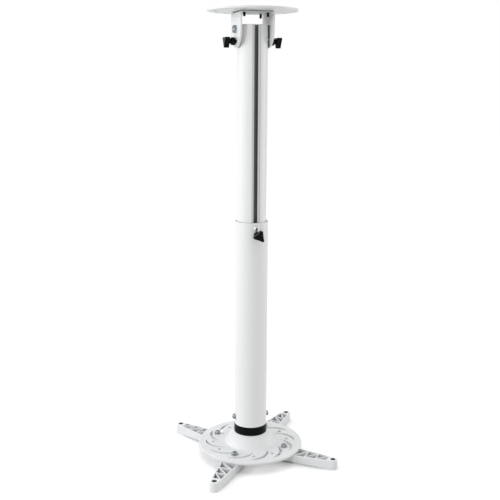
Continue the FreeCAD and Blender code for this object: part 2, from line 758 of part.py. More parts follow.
# Height lock: a lobed hand knob whose stud pulls the bar against the track's lips
lock_knob = hand_knob("height_knob")
place(lock_knob, "0", f"-({SLEEVE_RADIUS} + dim.lock_stand)", LOCK_Z,
      towards_front * FreeCAD.Rotation(UP, LOCK_KNOB_TURN))
finish(lock_knob)
lock_stud = cylinder("height_stud", "dim.stud_radius",
                     f"{SLEEVE_RADIUS} + dim.lock_stand + dim.stud_deep + {BAR_BACK_Y}")
place(lock_stud, "0", BAR_BACK_Y, LOCK_Z, towards_front)
finish(lock_stud)

# Plug in the sleeve's foot, which carries the swivel bolt, and its two side screws
plug = new_body("tube_plug")
plug_section = new_sketch(plug, "XZ_Plane")
outline(plug_section, [
    ("dim.bolt_radius + dim.fit_gap", "0"),
    (f"{SLEEVE_BORE} - dim.fit_gap", "0"),
    (f"{SLEEVE_BORE} - dim.fit_gap", "dim.plug_height"),
    ("dim.bolt_radius + dim.fit_gap", "dim.plug_height"),
])
revolve(plug, plug_section)
plug_holes = new_sketch(plug, "YZ_Plane", f"{SLEEVE_RADIUS} - dim.plug_screw_length")
circle(plug_holes, "0", "dim.plug_screw_rise", "dim.screw_radius + dim.fit_gap / 2")
around(plug, pocket(plug, plug_holes, "dim.plug_screw_length", reverse=True), "2")
place(plug, "0", "0", SLEEVE_BOTTOM_Z)
finish(plug)
plug_screw = pan_screw("plug_screw", "dim.plug_screw_length")
copies("plug_screws", plug_screw, [
    (f"-{SLEEVE_RADIUS}", "0", PLUG_SCREW_Z, towards_left),
    (SLEEVE_RADIUS, "0", PLUG_SCREW_Z, towards_right),
])

# Seat ring: its hollow foot rides on the dome
seat = new_body("seat_ring")
seat_section = new_sketch(seat, "XZ_Plane")
ring_top = f"({RING_FOOT} + dim.ring_height)"
outline(seat_section, [
    ("dim.ring_bore", ring_top),
    ("dim.ring_bore", f"sqrt({SEAT_RADIUS} ^ 2 - dim.ring_bore ^ 2)", ("0", "0"), RIGHT),
    (RING_RADIUS, RING_FOOT),
    (RING_RADIUS, ring_top),
])
revolve(seat, seat_section)
place(seat, "0", "0", HEAD_Z)
finish(seat)

# Spider plate: a domed casting with a flat disc, pierced by a swirl of crescents and holes
spider = new_body("spider_plate")
spider_section = new_sketch(spider, "XZ_Plane")
opening = "dim.dome_open"
dome_foot = "sqrt(dim.dome_radius ^ 2 - dim.disc_rise ^ 2)"
dome_mouth = f"sqrt({DOME_INSIDE} ^ 2 - {DISC_UNDER} ^ 2)"
outline(spider_section, [
    (f"dim.dome_radius * sin({opening})", f"dim.dome_radius * cos({opening})", ("0", "0"), RIGHT),
    (dome_foot, "dim.disc_rise"),
    ("dim.disc_radius", "dim.disc_rise"),
    ("dim.disc_radius", DISC_UNDER),
    (dome_mouth, DISC_UNDER, ("0", "0"), LEFT),
    (f"{DOME_INSIDE} * sin({opening})", f"{DOME_INSIDE} * cos({opening})"),
])
revolve(spider, spider_section)
rim = value("dim.disc_radius")
disc_top = value("dim.disc_rise")
disc_under = value(DISC_UNDER)
dress_edges(spider, "Fillet", "dim.disc_edge",
            lambda edge: is_ring(edge, rim, disc_top) or is_ring(edge, rim, disc_under))
foot = value(dome_foot)
dress_edges(spider, "Fillet", "dim.dome_root", lambda edge: is_ring(edge, foot, disc_top))
swirl_turn = value("dim.swirl_angle + dim.crescent_lag")
swirl_spot = FreeCAD.Vector(value(f"dim.crescent_centre * cos({swirl_turn})"),
                            value(f"dim.crescent_centre * sin({swirl_turn})"), 0)
swirl_radius = value("dim.crescent_radius")
swirl_ends = []
for size in ("crescent_end", "crescent_start"):
    turn = math.radians(value(f"dim.{size} + dim.swirl_angle"))
    swirl_ends.append(swirl_spot + FreeCAD.Vector(math.cos(turn), math.sin(turn), 0) * swirl_radius)
swirl_chord = (swirl_ends[0] + swirl_ends[1]) / 2
swirl_outward = (swirl_chord - swirl_spot).normalize()
swirl_half = swirl_ends[0].distanceToPoint(swirl_ends[1]) / 2
inner_rise = swirl_radius - swirl_chord.distanceToPoint(swirl_spot) - value("dim.crescent_width")
inner_radius = (swirl_half ** 2 + inner_rise ** 2) / (2 * inner_rise)
inner_spot = swirl_chord + swirl_outward * (inner_rise - inner_radius)
crescent = new_sketch(spider, "XY_Plane", "dim.disc_rise")
outline(crescent, [
    (swirl_ends[0].x, swirl_ends[0].y, (swirl_spot.x, swirl_spot.y), LEFT),
    (swirl_ends[1].x, swirl_ends[1].y, (inner_spot.x, inner_spot.y), RIGHT),
])
around(spider, pocket(spider, crescent, "2 * dim.disc_thick"), "dim.swirl_count")
disc_hole = new_sketch(spider, "XY_Plane", "dim.disc_rise")
circle(disc_hole, "dim.arm_circle * cos(dim.swirl_angle)", "dim.arm_circle * sin(dim.swirl_angle)",
       "dim.screw_radius + dim.fit_gap")
around(spider, pocket(spider, disc_hole, "2 * dim.disc_thick"), "dim.swirl_count")
place(spider, "0", "0", HEAD_Z)
finish(spider)

# Clamp cup under the dome, the saddle washer under the cup, and the swivel bolt with its nut
cup = new_body("clamp_cup")
cup_section = new_sketch(cup, "XZ_Plane")
outline(cup_section, [
    (f"{CUP_OUTSIDE} * sin({opening})", f"{CUP_OUTSIDE} * cos({opening})", ("0", "0"), RIGHT),
    (f"{CUP_OUTSIDE} * sin(dim.cup_open)", f"{CUP_OUTSIDE} * cos(dim.cup_open)"),
    (f"{CUP_INSIDE} * sin(dim.cup_open)", f"{CUP_INSIDE} * cos(dim.cup_open)", ("0", "0"), LEFT),
    (f"{CUP_INSIDE} * sin({opening})", f"{CUP_INSIDE} * cos({opening})"),
])
revolve(cup, cup_section)
place(cup, "0", "0", HEAD_Z)
finish(cup)
saddle = new_body("saddle_washer")
saddle_section = new_sketch(saddle, "XZ_Plane")
saddle_bore = "(dim.bolt_radius + dim.fit_gap)"
outline(saddle_section, [
    (saddle_bore, SADDLE_FOOT),
    ("dim.saddle_radius", SADDLE_FOOT),
    ("dim.saddle_radius", f"{SADDLE_FOOT} + dim.saddle_edge", ("0", "0"), LEFT),
    (saddle_bore, f"sqrt({SADDLE_TOP} ^ 2 - {saddle_bore} ^ 2)"),
])
revolve(saddle, saddle_section)
place(saddle, "0", "0", HEAD_Z)
finish(saddle)
nut_z = f"({HEAD_Z} + {SADDLE_FOOT} - dim.nut_thick)"
bolt_seat = f"({PLUG_TOP_Z} + dim.face_gap)"
swivel_bolt = hex_bolt("swivel_bolt", f"{bolt_seat} - {nut_z} + dim.bolt_end")
place(swivel_bolt, "0", "0", bolt_seat)
finish(swivel_bolt)
swivel_nut = hex_nut("swivel_nut", "dim.hex_flat", "dim.nut_thick", "dim.bolt_radius + dim.fit_gap / 2")
place(swivel_nut, "0", "0", nut_z)
finish(swivel_nut)


def arm_outline(sketch):
    """Round root and round tip joined by two tangent sides."""
    lean = "acos((dim.arm_root - dim.arm_tip) / dim.arm_reach)"
    root_x, root_y = f"dim.arm_root * cos({lean})", f"dim.arm_root * sin({lean})"
    tip_x, tip_y = f"dim.arm_reach + dim.arm_tip * cos({lean})", f"dim.arm_tip * sin({lean})"
    outline(sketch, [
        (root_x, f"-{root_y}"),
        (tip_x, f"-{tip_y}", ("dim.arm_reach", "0"), LEFT),
        (tip_x, tip_y),
        (root_x, root_y, ("0", "0"), LEFT),
    ])


def inset_corner(before, corner, after, margins):
    """Corner of a triangle after its two sides move inwards by their own margins."""
    first = (corner - before).normalize()
    second = (after - corner).normalize()
    side = 1 if first.cross(second).z > 0 else -1
    inwards = [FreeCAD.Vector(-way.y, way.x, 0) * side for way in (first, second)]
    start = corner + inwards[0] * margins[0]
    target = corner + inwards[1] * margins[1]
    step = (target - start).dot(inwards[1]) / first.dot(inwards[1])
    return start + first * step


def truss_cell(sketch, number):
    """Two triangular openings in one cell of an arm, parted by a rib that slants from rail to rail."""
    root, tip, reach = value("dim.arm_root"), value("dim.arm_tip"), value("dim.arm_reach")
    rail = value("dim.arm_rail")
    rib = value("dim.arm_rib") / 2
    pitch = value("dim.arm_reach - dim.truss_start - dim.truss_end") / TRUSS_CELLS
    near = value("dim.truss_start") + number * pitch
    far = near + pitch

    def inside(along, side):
        half = root + (tip - root) * along / reach - rail
        return FreeCAD.Vector(along, side * half, 0)

    start, end = inside(near, -1), inside(far, 1)
    for middle, margins in ((inside(far, -1), (0, rib)), (inside(near, 1), (rib, 0))):
        outline(sketch, [(spot.x, spot.y) for spot in (
            inset_corner(end, start, middle, (rib, margins[0])),
            inset_corner(start, middle, end, margins),
            inset_corner(middle, end, start, (margins[1], rib)),
        )])


def arm_spot(hole, swing, level):
    """Place on the axis of one arm's screw, at the given height, turned along the arm."""
    angle = f"(dim.swirl_angle + {hole} * 360 / dim.swirl_count)"
    turn = FreeCAD.Rotation(UP, value(angle) + swing)
    return f"dim.arm_circle * cos({angle})", f"dim.arm_circle * sin({angle})", level, turn


def spider_arm(label, hole, swing):
    """Cast arm: its screw at the root, ribs between two rails, and a foot with a hole at the tip."""
    body = new_body(label)
    plan = new_sketch(body, "XY_Plane")
    arm_outline(plan)
    pad(body, plan, "dim.arm_tip_high", reverse=True)
    under = new_sketch(body, "XZ_Plane")
    waste_back = "-2 * dim.arm_root"
    outline(under, [
        (waste_back, "-2 * dim.arm_tip_high"),
        ("dim.arm_reach - dim.arm_foot", "-2 * dim.arm_tip_high"),
        ("dim.arm_reach - dim.arm_foot", "-dim.arm_tip_high"),
        ("dim.arm_level", "-dim.arm_root_high"),
        (waste_back, "-dim.arm_root_high"),
    ])
    pocket(body, under, "4 * dim.arm_root", both=True)
    dress_edges(body, "Fillet", "dim.arm_edge", lambda edge: at_level(edge, 0))
    truss = new_sketch(body, "XY_Plane")
    for number in range(TRUSS_CELLS):
        truss_cell(truss, number)
    pocket(body, truss, "2 * dim.arm_tip_high")
    holes = new_sketch(body, "XY_Plane")
    circle(holes, "0", "0", "dim.screw_radius + dim.fit_gap")
    circle(holes, "dim.arm_reach", "0", "dim.arm_hole")
    pocket(body, holes, "2 * dim.arm_tip_high")
    nut_room = new_sketch(body, "XY_Plane", "-dim.arm_root_high")
    circle(nut_room, "0", "0", "dim.arm_nut_flat / 2 / cos(30) + dim.seat_gap")
    pocket(body, nut_room, ARM_NUT_TOP, reverse=True)
    place(body, *arm_spot(hole, swing, ARM_Z))
    return finish(body)


def arm_spots(level):
    """One place on each arm's screw axis, at the given height."""
    return [arm_spot(hole, swing, level) for hole, swing in ARMS.values()]


# Arms, and the screw, washer and nut that clamp each one under the disc
for arm_label, (hole_number, arm_swing) in ARMS.items():
    spider_arm(arm_label, hole_number, arm_swing)
arm_washer = cut("arm_washer", cylinder("washer_blank", "dim.washer_radius", "dim.washer_thick"),
                 cylinder("washer_bore", "dim.screw_radius + dim.fit_gap", "dim.washer_thick"))
copies("arm_washers", arm_washer, arm_spots(f"{HEAD_Z} + dim.disc_rise"))
screw_seat = f"({HEAD_Z} + dim.disc_rise + dim.washer_thick)"
arm_screw = pan_screw("arm_screw", f"{screw_seat} - {ARM_NUT_Z}")
copies("arm_screws", arm_screw, arm_spots(screw_seat))
arm_nut = hex_nut("arm_nut", "dim.arm_nut_flat", "dim.arm_nut_thick", "dim.screw_radius + dim.fit_gap / 2")
copies("arm_nuts", arm_nut, arm_spots(ARM_NUT_Z))

doc.recompute()
for thing in doc.Objects:
    if "Invalid" in thing.State or "Error" in thing.State:
        raise ValueError(f"{thing.Label} did not build: {thing.State}")
for thing in sub_parts:
    if thing.Shape.isNull() or not thing.Shape.isValid():
        raise ValueError(f"{thing.Label} has no valid shape")
os.makedirs("parts", exist_ok=True)
for thing in sub_parts:
    thing.Shape.exportStep(f"parts/{thing.Label}.step")
    print(thing.Label, len(thing.Shape.Solids), round(thing.Shape.Volume, 1))
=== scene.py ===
"""Looks of a telescopic ceiling mount for a projector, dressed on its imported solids."""

import json
import logging
import math
from collections.abc import Callable, Iterable
from dataclasses import dataclass, field, replace
from enum import Enum

import bpy
from mathutils import Matrix, Quaternion, Vector


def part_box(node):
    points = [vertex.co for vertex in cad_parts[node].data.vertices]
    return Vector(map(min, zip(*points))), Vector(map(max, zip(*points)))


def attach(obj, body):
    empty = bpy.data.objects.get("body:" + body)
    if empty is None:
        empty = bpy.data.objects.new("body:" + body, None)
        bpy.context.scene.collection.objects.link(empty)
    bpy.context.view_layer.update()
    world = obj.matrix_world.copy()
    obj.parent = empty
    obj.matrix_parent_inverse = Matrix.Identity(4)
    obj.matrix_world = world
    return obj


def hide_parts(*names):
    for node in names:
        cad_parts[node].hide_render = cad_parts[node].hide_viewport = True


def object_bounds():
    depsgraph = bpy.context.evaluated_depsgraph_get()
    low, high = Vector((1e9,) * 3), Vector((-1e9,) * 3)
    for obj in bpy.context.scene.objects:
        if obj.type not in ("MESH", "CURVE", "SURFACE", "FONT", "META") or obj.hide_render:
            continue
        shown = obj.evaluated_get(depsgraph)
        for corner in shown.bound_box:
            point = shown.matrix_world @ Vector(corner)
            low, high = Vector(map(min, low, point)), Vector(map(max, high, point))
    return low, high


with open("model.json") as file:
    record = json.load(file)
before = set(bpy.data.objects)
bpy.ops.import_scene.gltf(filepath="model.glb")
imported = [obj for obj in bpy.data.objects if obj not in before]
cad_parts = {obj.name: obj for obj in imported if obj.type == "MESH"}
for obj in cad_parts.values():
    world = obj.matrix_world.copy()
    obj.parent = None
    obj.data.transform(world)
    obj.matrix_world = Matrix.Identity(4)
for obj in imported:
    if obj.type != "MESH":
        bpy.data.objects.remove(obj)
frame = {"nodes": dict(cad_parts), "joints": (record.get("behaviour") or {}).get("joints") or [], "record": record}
CAD_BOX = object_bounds()
LOG = logging.getLogger("projector_mount")

Colour = tuple[float, float, float, float]
Point = tuple[float, float, float]
Piece = bpy.types.Object
Tree = bpy.types.NodeTree
Node = bpy.types.Node
Socket = bpy.types.NodeSocket

# One millimetre in Blender's metres.
MM = 0.001
# Heights nearer than this, in metres, are the same height.
TOUCH = 1e-6
# A face points down when its normal's height is below this.
DOWNWARD = -0.9
# Edges sharper than this, in degrees, stay sharp to the eye.
SHARP = 35
# Sides of the round forms, from the screw heads to the cores of the threads.
HEAD_SIDES = 48
SUNK_HEAD_SIDES = 40
SHANK_SIDES = 32
CORE_SIDES = 24
# Gap round a thread in its nut, in millimetres.
NUT_GAP = 0.02
# Height of the band of painted shade at a tube's upper end, in millimetres.
END_SHADE_BAND = 0.3
# Range in which most of a noise pattern lies.
NOISE_LOW = 0.3
NOISE_HIGH = 0.7
# Radians per unit of length in a wave pattern of scale 1.
WAVE_RATE = 20
# Factors that keep a point's plan and drop its height.
PLAN = (1, 1, 0)
# Sockets of a Mix node that mixes colours.
SHARE, FIRST, SECOND, MIXED = 0, 6, 7, 2


def linear(hex_colour: str) -> Colour:
    """Turns an sRGB hex colour to a linear one by the curve of the sRGB standard.

    Args:
        hex_colour: colour as "#RRGGBB".

    Returns:
        Linear red, green, blue and an alpha of 1.
    """
    parts = [int(hex_colour[place:place + 2], 16) / 255 for place in (1, 3, 5)]
    light = [part / 12.92 if part <= 0.04045 else ((part + 0.055) / 1.055) ** 2.4 for part in parts]
    return light[0], light[1], light[2], 1.0


def per_mm(size: float) -> float:
    """Texture scale at which one feature of a pattern is this many millimetres wide."""
    return 1 / (size * MM)


def add_node(tree: Tree, kind: str, inputs: dict | None = None, **settings: object) -> Node:
    """Adds a node with its settings, its values and its links.

    Args:
        tree: node tree that gets the node.
        kind: kind of shader node, by the end of Blender's name for it.
        inputs: by socket, a value to set, an output to link from, or a node to link from its first output.
        settings: the node's own options.

    Returns:
        The new node.
    """
    node = tree.nodes.new(f"ShaderNode{kind}")
    for name, setting in settings.items():
        setattr(node, name, setting)
    for socket, source in (inputs or {}).items():
        if isinstance(source, Node):
            source = source.outputs[0]
        if isinstance(source, Socket):
            tree.links.new(source, node.inputs[socket])
        else:
            node.inputs[socket].default_value = source
    return node


@dataclass(frozen=True)
class Canvas:
    """The nodes of a material in the making: its tree, its shader and its object coordinates."""

    tree: Tree
    shader: Node
    where: Socket


@dataclass(frozen=True)
class Finish:
    """A surface finish: its name, the record's slot it belongs to, its colours, the colour of its painted shade,
    roughness and relief.

    Each kind of finish adds its own pattern in draw().
    """

    name: str
    slot: str
    colour: str
    second: str
    smooth: float
    rough: float
    metallic: float = 0.0
    # Colour of the painted shade, for the finishes that lay one.
    painted_shade: str = "#808080"
    relief_mm: float = 0.1
    relief_share: float = 0.3

    def material(self) -> bpy.types.Material:
        """Gives the finish's material, made the first time it is asked for.

        Returns:
            The material.
        """
        found = bpy.data.materials.get(self.name)
        if found:
            return found
        made = bpy.data.materials.new(self.name)
        made.use_nodes = True
        made.diffuse_color = linear(self.colour)
        tree = made.node_tree
        shader = next(node for node in tree.nodes if node.type == "BSDF_PRINCIPLED")
        shader.inputs["Metallic"].default_value = self.metallic
        self.draw(Canvas(tree, shader, add_node(tree, "TexCoord").outputs["Object"]))
        return made

    def draw(self, canvas: Canvas) -> None:
        """Adds the finish's own pattern to the material's nodes."""
        raise NotImplementedError

    def painted_shade_zone(self, canvas: Canvas) -> Node | None:
        """Adds the pattern of painted shade, or nothing if the finish has none."""
        return None

    def lay(self, canvas: Canvas, tone: Node | Socket, sheen: Node | Socket, height: Node | Socket) -> None:
        """Lets patterns drive the colour, the roughness and the relief.

        Args:
            canvas: the material's nodes.
            tone: pattern from the first colour, at 0, to the second.
            sheen: pattern from smooth to rough.
            height: pattern that raises the surface.
        """
        tree = canvas.tree
        colour = linear(self.colour)
        # The second mix lays the painted shade over the colour.
        for share, other in ((tone, self.second), (self.painted_shade_zone(canvas), self.painted_shade)):
            if share is not None:
                mix = add_node(tree, "Mix", {SHARE: share, FIRST: colour, SECOND: linear(other)},
                               data_type="RGBA")
                colour = mix.outputs[MIXED]
        gloss = add_node(tree, "MapRange", {
            "Value": sheen, "From Min": NOISE_LOW, "From Max": NOISE_HIGH,
            "To Min": self.smooth, "To Max": self.rough,
        })
        bump = add_node(tree, "Bump", {
            "Height": height, "Distance": self.relief_mm * MM, "Strength": self.relief_share,
        })
        driven = {"Base Color": colour, "Roughness": gloss.outputs[0], "Normal": bump.outputs[0]}
        for socket, source in driven.items():
            tree.links.new(source, canvas.shader.inputs[socket])


@dataclass(frozen=True)
class PowderCoat(Finish):
    """Polyester powder baked on steel sheet: an even satin white with a faintly rippled skin.

    The real ripple is 1 to 2 mm wide and is drawn wider, because it wouldn't show.
    """

    relief_mm: float = 0.12
    relief_share: float = 0.25
    ripple_mm: float = 4.0
    drift_mm: float = 60.0

    def draw(self, canvas: Canvas) -> None:
        """Adds the ripple and a slow drift of tone.

        Args:
            canvas: the material's nodes.
        """
        ripple = add_node(canvas.tree, "TexNoise", {
            "Vector": canvas.where, "Scale": per_mm(self.ripple_mm), "Detail": 2.0, "Roughness": 0.4,
        })
        drift = add_node(canvas.tree, "TexNoise", {
            "Vector": canvas.where, "Scale": per_mm(self.drift_mm), "Detail": 1.0,
        })
        self.lay(canvas, drift, ripple, ripple)


@dataclass(frozen=True)
class FoldedCoat(PowderCoat):
    """Powder on a folded yoke, grey with painted shade in two places.

    The plate's painted shadow runs along its joint, and painted shade lies between its ears and the tube.
    """

    joint: float = 0.0
    inside: float = 0.0
    tube_top: float = 0.0
    plate_shadow_mm: float = 2.2
    dark_mm: float = 1.0
    gap_open_mm: float = 12.0
    gap_shut_mm: float = 7.0

    def painted_shade_zone(self, canvas: Canvas) -> Node:
        """Adds the plate's painted shadow below the joint and the painted shade in the gap beside the tube.

        Args:
            canvas: the material's nodes.

        Returns:
            Node that gives 1 in those places.
        """
        tree = canvas.tree
        axes = add_node(tree, "SeparateXYZ", {0: canvas.where}).outputs
        # Painted shadow of the plate, just below the joint.
        plate_shadow = add_node(tree, "MapRange", {
            "Value": axes["Z"], "From Min": self.joint - self.plate_shadow_mm * MM,
            "From Max": self.joint - self.dark_mm * MM,
        })
        # Painted shade beside the tube, darker deeper into the gap.
        across = add_node(tree, "Math", {0: axes["X"]}, operation="ABSOLUTE")
        inner = add_node(tree, "Math", {0: across, 1: self.inside}, operation="LESS_THAN")
        low = add_node(tree, "Math", {0: axes["Z"], 1: self.tube_top}, operation="LESS_THAN")
        beside = add_node(tree, "Math", {0: inner, 1: low}, operation="MULTIPLY")
        depth = add_node(tree, "Math", {0: axes["Y"]}, operation="ABSOLUTE")
        shut = add_node(tree, "MapRange", {
            "Value": depth, "From Min": self.gap_open_mm * MM, "From Max": self.gap_shut_mm * MM,
        })
        return add_node(tree, "Math", {0: beside, 1: shut, 2: plate_shadow},
                        operation="MULTIPLY_ADD", use_clamp=True)


@dataclass(frozen=True)
class TubeCoat(Finish):
    """White coat on a drawn tube: smoother than on sheet, with the draw lines just felt along it.

    Painted shade darkens the track's walls, more faintly its sunk lips, and the tube's upper end.
    """

    relief_mm: float = 0.05
    relief_share: float = 0.2
    line_mm: float = 1.6
    run_mm: float = 90.0
    track_half_mm: float = 5.9
    depths_mm: tuple[float, ...] = (-21.0, -19.57, -18.4, -11.6)
    depth_shares: tuple[float, ...] = (0.7, 0.2, 1.0)
    end_shade_from: float = 1.0
    end_shade_share: float = 0.55

    def painted_shade_zone(self, canvas: Canvas) -> Node:
        """Adds the painted shade on the track's walls, more faintly on its sunk lips, and on the upper end.

        Args:
            canvas: the material's nodes.

        Returns:
            Node that gives 1 in those places.
        """
        tree = canvas.tree
        axes = add_node(tree, "SeparateXYZ", {0: canvas.where}).outputs
        across = add_node(tree, "Math", {0: axes["X"]}, operation="ABSOLUTE")
        inside = add_node(tree, "Math", {0: across, 1: self.track_half_mm * MM}, operation="LESS_THAN")
        # Painted shade at the tube's upper end.
        end = add_node(tree, "Math", {0: axes["Z"], 1: self.end_shade_from}, operation="GREATER_THAN")
        zone = add_node(tree, "Math", {0: end, 1: self.end_shade_share}, operation="MULTIPLY")
        # Painted shade in the track's recess, on its lips and down the track itself, by depth.
        for front, back, share in zip(self.depths_mm, self.depths_mm[1:], self.depth_shares):
            between = add_node(tree, "Math", {
                0: axes["Y"], 1: (front + back) / 2 * MM, 2: (back - front) / 2 * MM,
            }, operation="COMPARE")
            track = add_node(tree, "Math", {0: inside, 1: between}, operation="MULTIPLY")
            zone = add_node(tree, "Math", {0: track, 1: share, 2: zone},
                            operation="MULTIPLY_ADD", use_clamp=True)
        return zone

    def draw(self, canvas: Canvas) -> None:
        """Adds the draw lines.

        Args:
            canvas: the material's nodes.
        """
        across, along = per_mm(self.line_mm), per_mm(self.run_mm)
        stretched = add_node(canvas.tree, "Mapping", {
            "Vector": canvas.where, "Scale": (across, across, along),
        })
        lines = add_node(canvas.tree, "TexNoise", {
            "Vector": stretched, "Scale": 1.0, "Detail": 2.0,
        })
        self.lay(canvas, lines, lines, lines)


@dataclass(frozen=True)
class CastPaint(Finish):
    """White paint on die cast aluminium: a little greyer and duller, over the casting's soft grain.

    The grain is under 1 mm in life and is drawn wider, because it wouldn't show.
    """

    relief_mm: float = 0.15
    grain_mm: float = 2.6
    flow_mm: float = 35.0

    def draw(self, canvas: Canvas) -> None:
        """Adds the grain and the casting's flow marks.

        Args:
            canvas: the material's nodes.
        """
        grain = add_node(canvas.tree, "TexNoise", {
            "Vector": canvas.where, "Scale": per_mm(self.grain_mm), "Detail": 4.0, "Roughness": 0.6,
        })
        flow = add_node(canvas.tree, "TexNoise", {
            "Vector": canvas.where, "Scale": per_mm(self.flow_mm), "Detail": 2.0, "Distortion": 1.0,
        })
        self.lay(canvas, flow, grain, grain)


@dataclass(frozen=True)
class ArmPaint(CastPaint):
    """White paint on a ribbed arm: even on its outside, with painted shade down in its narrow pockets.

    The wall of the hole in its tip is painted dark as painted shade.
    The sizes are the arm's own, along it from its screw, across it and down from its top.
    """

    screw: tuple[float, float] = (0.0, 0.0)
    angle: float = 0.0
    top: float = 0.0
    start_mm: float = 19.2
    end_mm: float = 80.0
    root_half_mm: float = 14.1
    tip_half_mm: float = 5.3
    reach_mm: float = 76.2
    shade_from_mm: float = 0.4
    shade_to_mm: float = 5.0
    pocket_shade_share: float = 0.3
    hole_mm: float = 3.62

    def painted_shade_zone(self, canvas: Canvas) -> Node:
        """Adds the painted shade on the pockets' walls, more so farther down, and in the drilled hole.

        Args:
            canvas: the material's nodes.

        Returns:
            Node that gives 1 in the hole and the pocket shade's share low in the pockets.
        """
        tree = canvas.tree
        along = add_node(tree, "Mapping", {
            "Vector": canvas.where, "Location": (*self.screw, self.top), "Rotation": (0, 0, self.angle),
        }, vector_type="TEXTURE")
        axes = add_node(tree, "SeparateXYZ", {0: along}).outputs
        across = add_node(tree, "Math", {0: axes["Y"]}, operation="ABSOLUTE")
        taper = (self.tip_half_mm - self.root_half_mm) / self.reach_mm
        half = add_node(tree, "Math", {0: axes["X"], 1: taper, 2: self.root_half_mm * MM},
                        operation="MULTIPLY_ADD")
        inside = add_node(tree, "Math", {0: across, 1: half}, operation="LESS_THAN")
        middle = (self.start_mm + self.end_mm) / 2 * MM
        run = (self.end_mm - self.start_mm) / 2 * MM
        between = add_node(tree, "Math", {0: axes["X"], 1: middle, 2: run}, operation="COMPARE")
        pocket = add_node(tree, "Math", {0: inside, 1: between}, operation="MULTIPLY")
        # Painted shade in the pockets, darker farther down.
        deep = add_node(tree, "MapRange", {
            "Value": axes["Z"], "From Min": -self.shade_from_mm * MM, "From Max": -self.shade_to_mm * MM,
        })
        pocket_shade = add_node(tree, "Math", {0: pocket, 1: deep}, operation="MULTIPLY")
        # Painted shade in the hole at the tip.
        plan = add_node(tree, "VectorMath", {0: along, 1: PLAN}, operation="MULTIPLY")
        away = add_node(tree, "VectorMath", {0: plan, 1: (self.reach_mm * MM, 0, 0)},
                        operation="DISTANCE").outputs["Value"]
        hole = add_node(tree, "Math", {0: away, 1: self.hole_mm * MM}, operation="LESS_THAN")
        return add_node(tree, "Math", {0: pocket_shade, 1: self.pocket_shade_share, 2: hole},
                        operation="MULTIPLY_ADD", use_clamp=True)


@dataclass(frozen=True)
class MouldedNylon(Finish):
    """Glass-filled nylon from a grained mould: black, half dull, with paler flow mottling."""

    relief_mm: float = 0.06
    relief_share: float = 0.35
    grain_mm: float = 0.9
    mottle_mm: float = 7.0
    ior: float = 1.53
    shine: float = 0.07

    def draw(self, canvas: Canvas) -> None:
        """Adds the mould grain and the mottling.

        Args:
            canvas: the material's nodes.
        """
        grain = add_node(canvas.tree, "TexVoronoi", {
            "Vector": canvas.where, "Scale": per_mm(self.grain_mm),
        })
        mottle = add_node(canvas.tree, "TexNoise", {
            "Vector": canvas.where, "Scale": per_mm(self.mottle_mm), "Detail": 3.0,
        })
        canvas.shader.inputs["IOR"].default_value = self.ior
        canvas.shader.inputs["Specular IOR Level"].default_value = self.shine
        self.lay(canvas, mottle, mottle, grain)


@dataclass(frozen=True)
class PlatedSteel(Finish):
    """Plated or blackened steel: fine forming scratches, a plating that is thicker in places, painted shade in
    grooves.

    Painted shade darkens recesses, threads and the places under heads, where ambient occlusion finds them closed
    in.
    """

    relief_mm: float = 0.02
    scratch_mm: float = 0.5
    cloud_mm: float = 4.0
    groove_mm: float = 2.5
    groove_open: float = 0.8
    groove_shut: float = 0.4

    def painted_shade_zone(self, canvas: Canvas) -> Node:
        """Adds the painted shade in recesses and grooves.

        Args:
            canvas: the material's nodes.

        Returns:
            Node that gives 1 deep in them.
        """
        # Painted shade where ambient occlusion finds the surface closed in.
        sky = add_node(canvas.tree, "AmbientOcclusion", {"Distance": self.groove_mm * MM},
                       only_local=True)
        return add_node(canvas.tree, "MapRange", {
            "Value": sky.outputs["AO"], "From Min": self.groove_open, "From Max": self.groove_shut,
        })

    def draw(self, canvas: Canvas) -> None:
        """Adds the scratches and the clouded plating.

        Args:
            canvas: the material's nodes.
        """
        scratches = add_node(canvas.tree, "TexNoise", {
            "Vector": canvas.where, "Scale": per_mm(self.scratch_mm), "Detail": 2.0, "Distortion": 0.6,
        })
        clouds = add_node(canvas.tree, "TexNoise", {
            "Vector": canvas.where, "Scale": per_mm(self.cloud_mm), "Detail": 3.0,
        })
        self.lay(canvas, clouds, clouds, scratches)


@dataclass(frozen=True)
class TurnedMetal(Finish):
    """Aluminium off the lathe: bright, with rings left by the tool round the column's axis.

    The rings are 0.2 mm apart in life and are drawn wider, because they wouldn't show.
    """

    relief_mm: float = 0.03
    ring_mm: float = 5.0265

    def draw(self, canvas: Canvas) -> None:
        """Adds the tool's rings.

        Args:
            canvas: the material's nodes.
        """
        scale = per_mm(self.ring_mm) * math.tau / WAVE_RATE
        rings = add_node(canvas.tree, "TexWave", {
            "Vector": canvas.where, "Scale": scale, "Distortion": 0.4, "Detail": 1.0,
        }, wave_type="RINGS", rings_direction="Z").outputs["Fac"]
        self.lay(canvas, rings, rings, rings)


# Satin white, even all over, on the ceiling plate.
STEEL_COAT = PowderCoat("white_powder_coat", "white_steel", "#F2F2F1", "#ECEDEC", 0.36, 0.46)
# The same white on the yoke, with painted shade just below the plate and beside the tube.
FOLDED_COAT = FoldedCoat("white_folded_coat", "white_steel", "#F2F2F1", "#ECEDEC", 0.36, 0.46,
                         painted_shade="#868E90")
# A glossier white on the tubes, with painted shade down in the track.
TUBE_COAT = TubeCoat("white_tube_coat", "white_aluminium", "#F3F3F2", "#EFF0EF", 0.30, 0.38,
                     painted_shade="#7A817D")
# A greyer, half dull white on the disc.
CAST_PAINT = CastPaint("white_casting_paint", "white_casting", "#ECEDED", "#E4E6E6", 0.38, 0.52)
# A cleaner white on the arms, with painted shade down between their ribs.
ARM_PAINT = ArmPaint("white_arm_paint", "white_casting", "#F3F4F4", "#ECEEEE", 0.38, 0.52,
                     painted_shade="#6A7376")
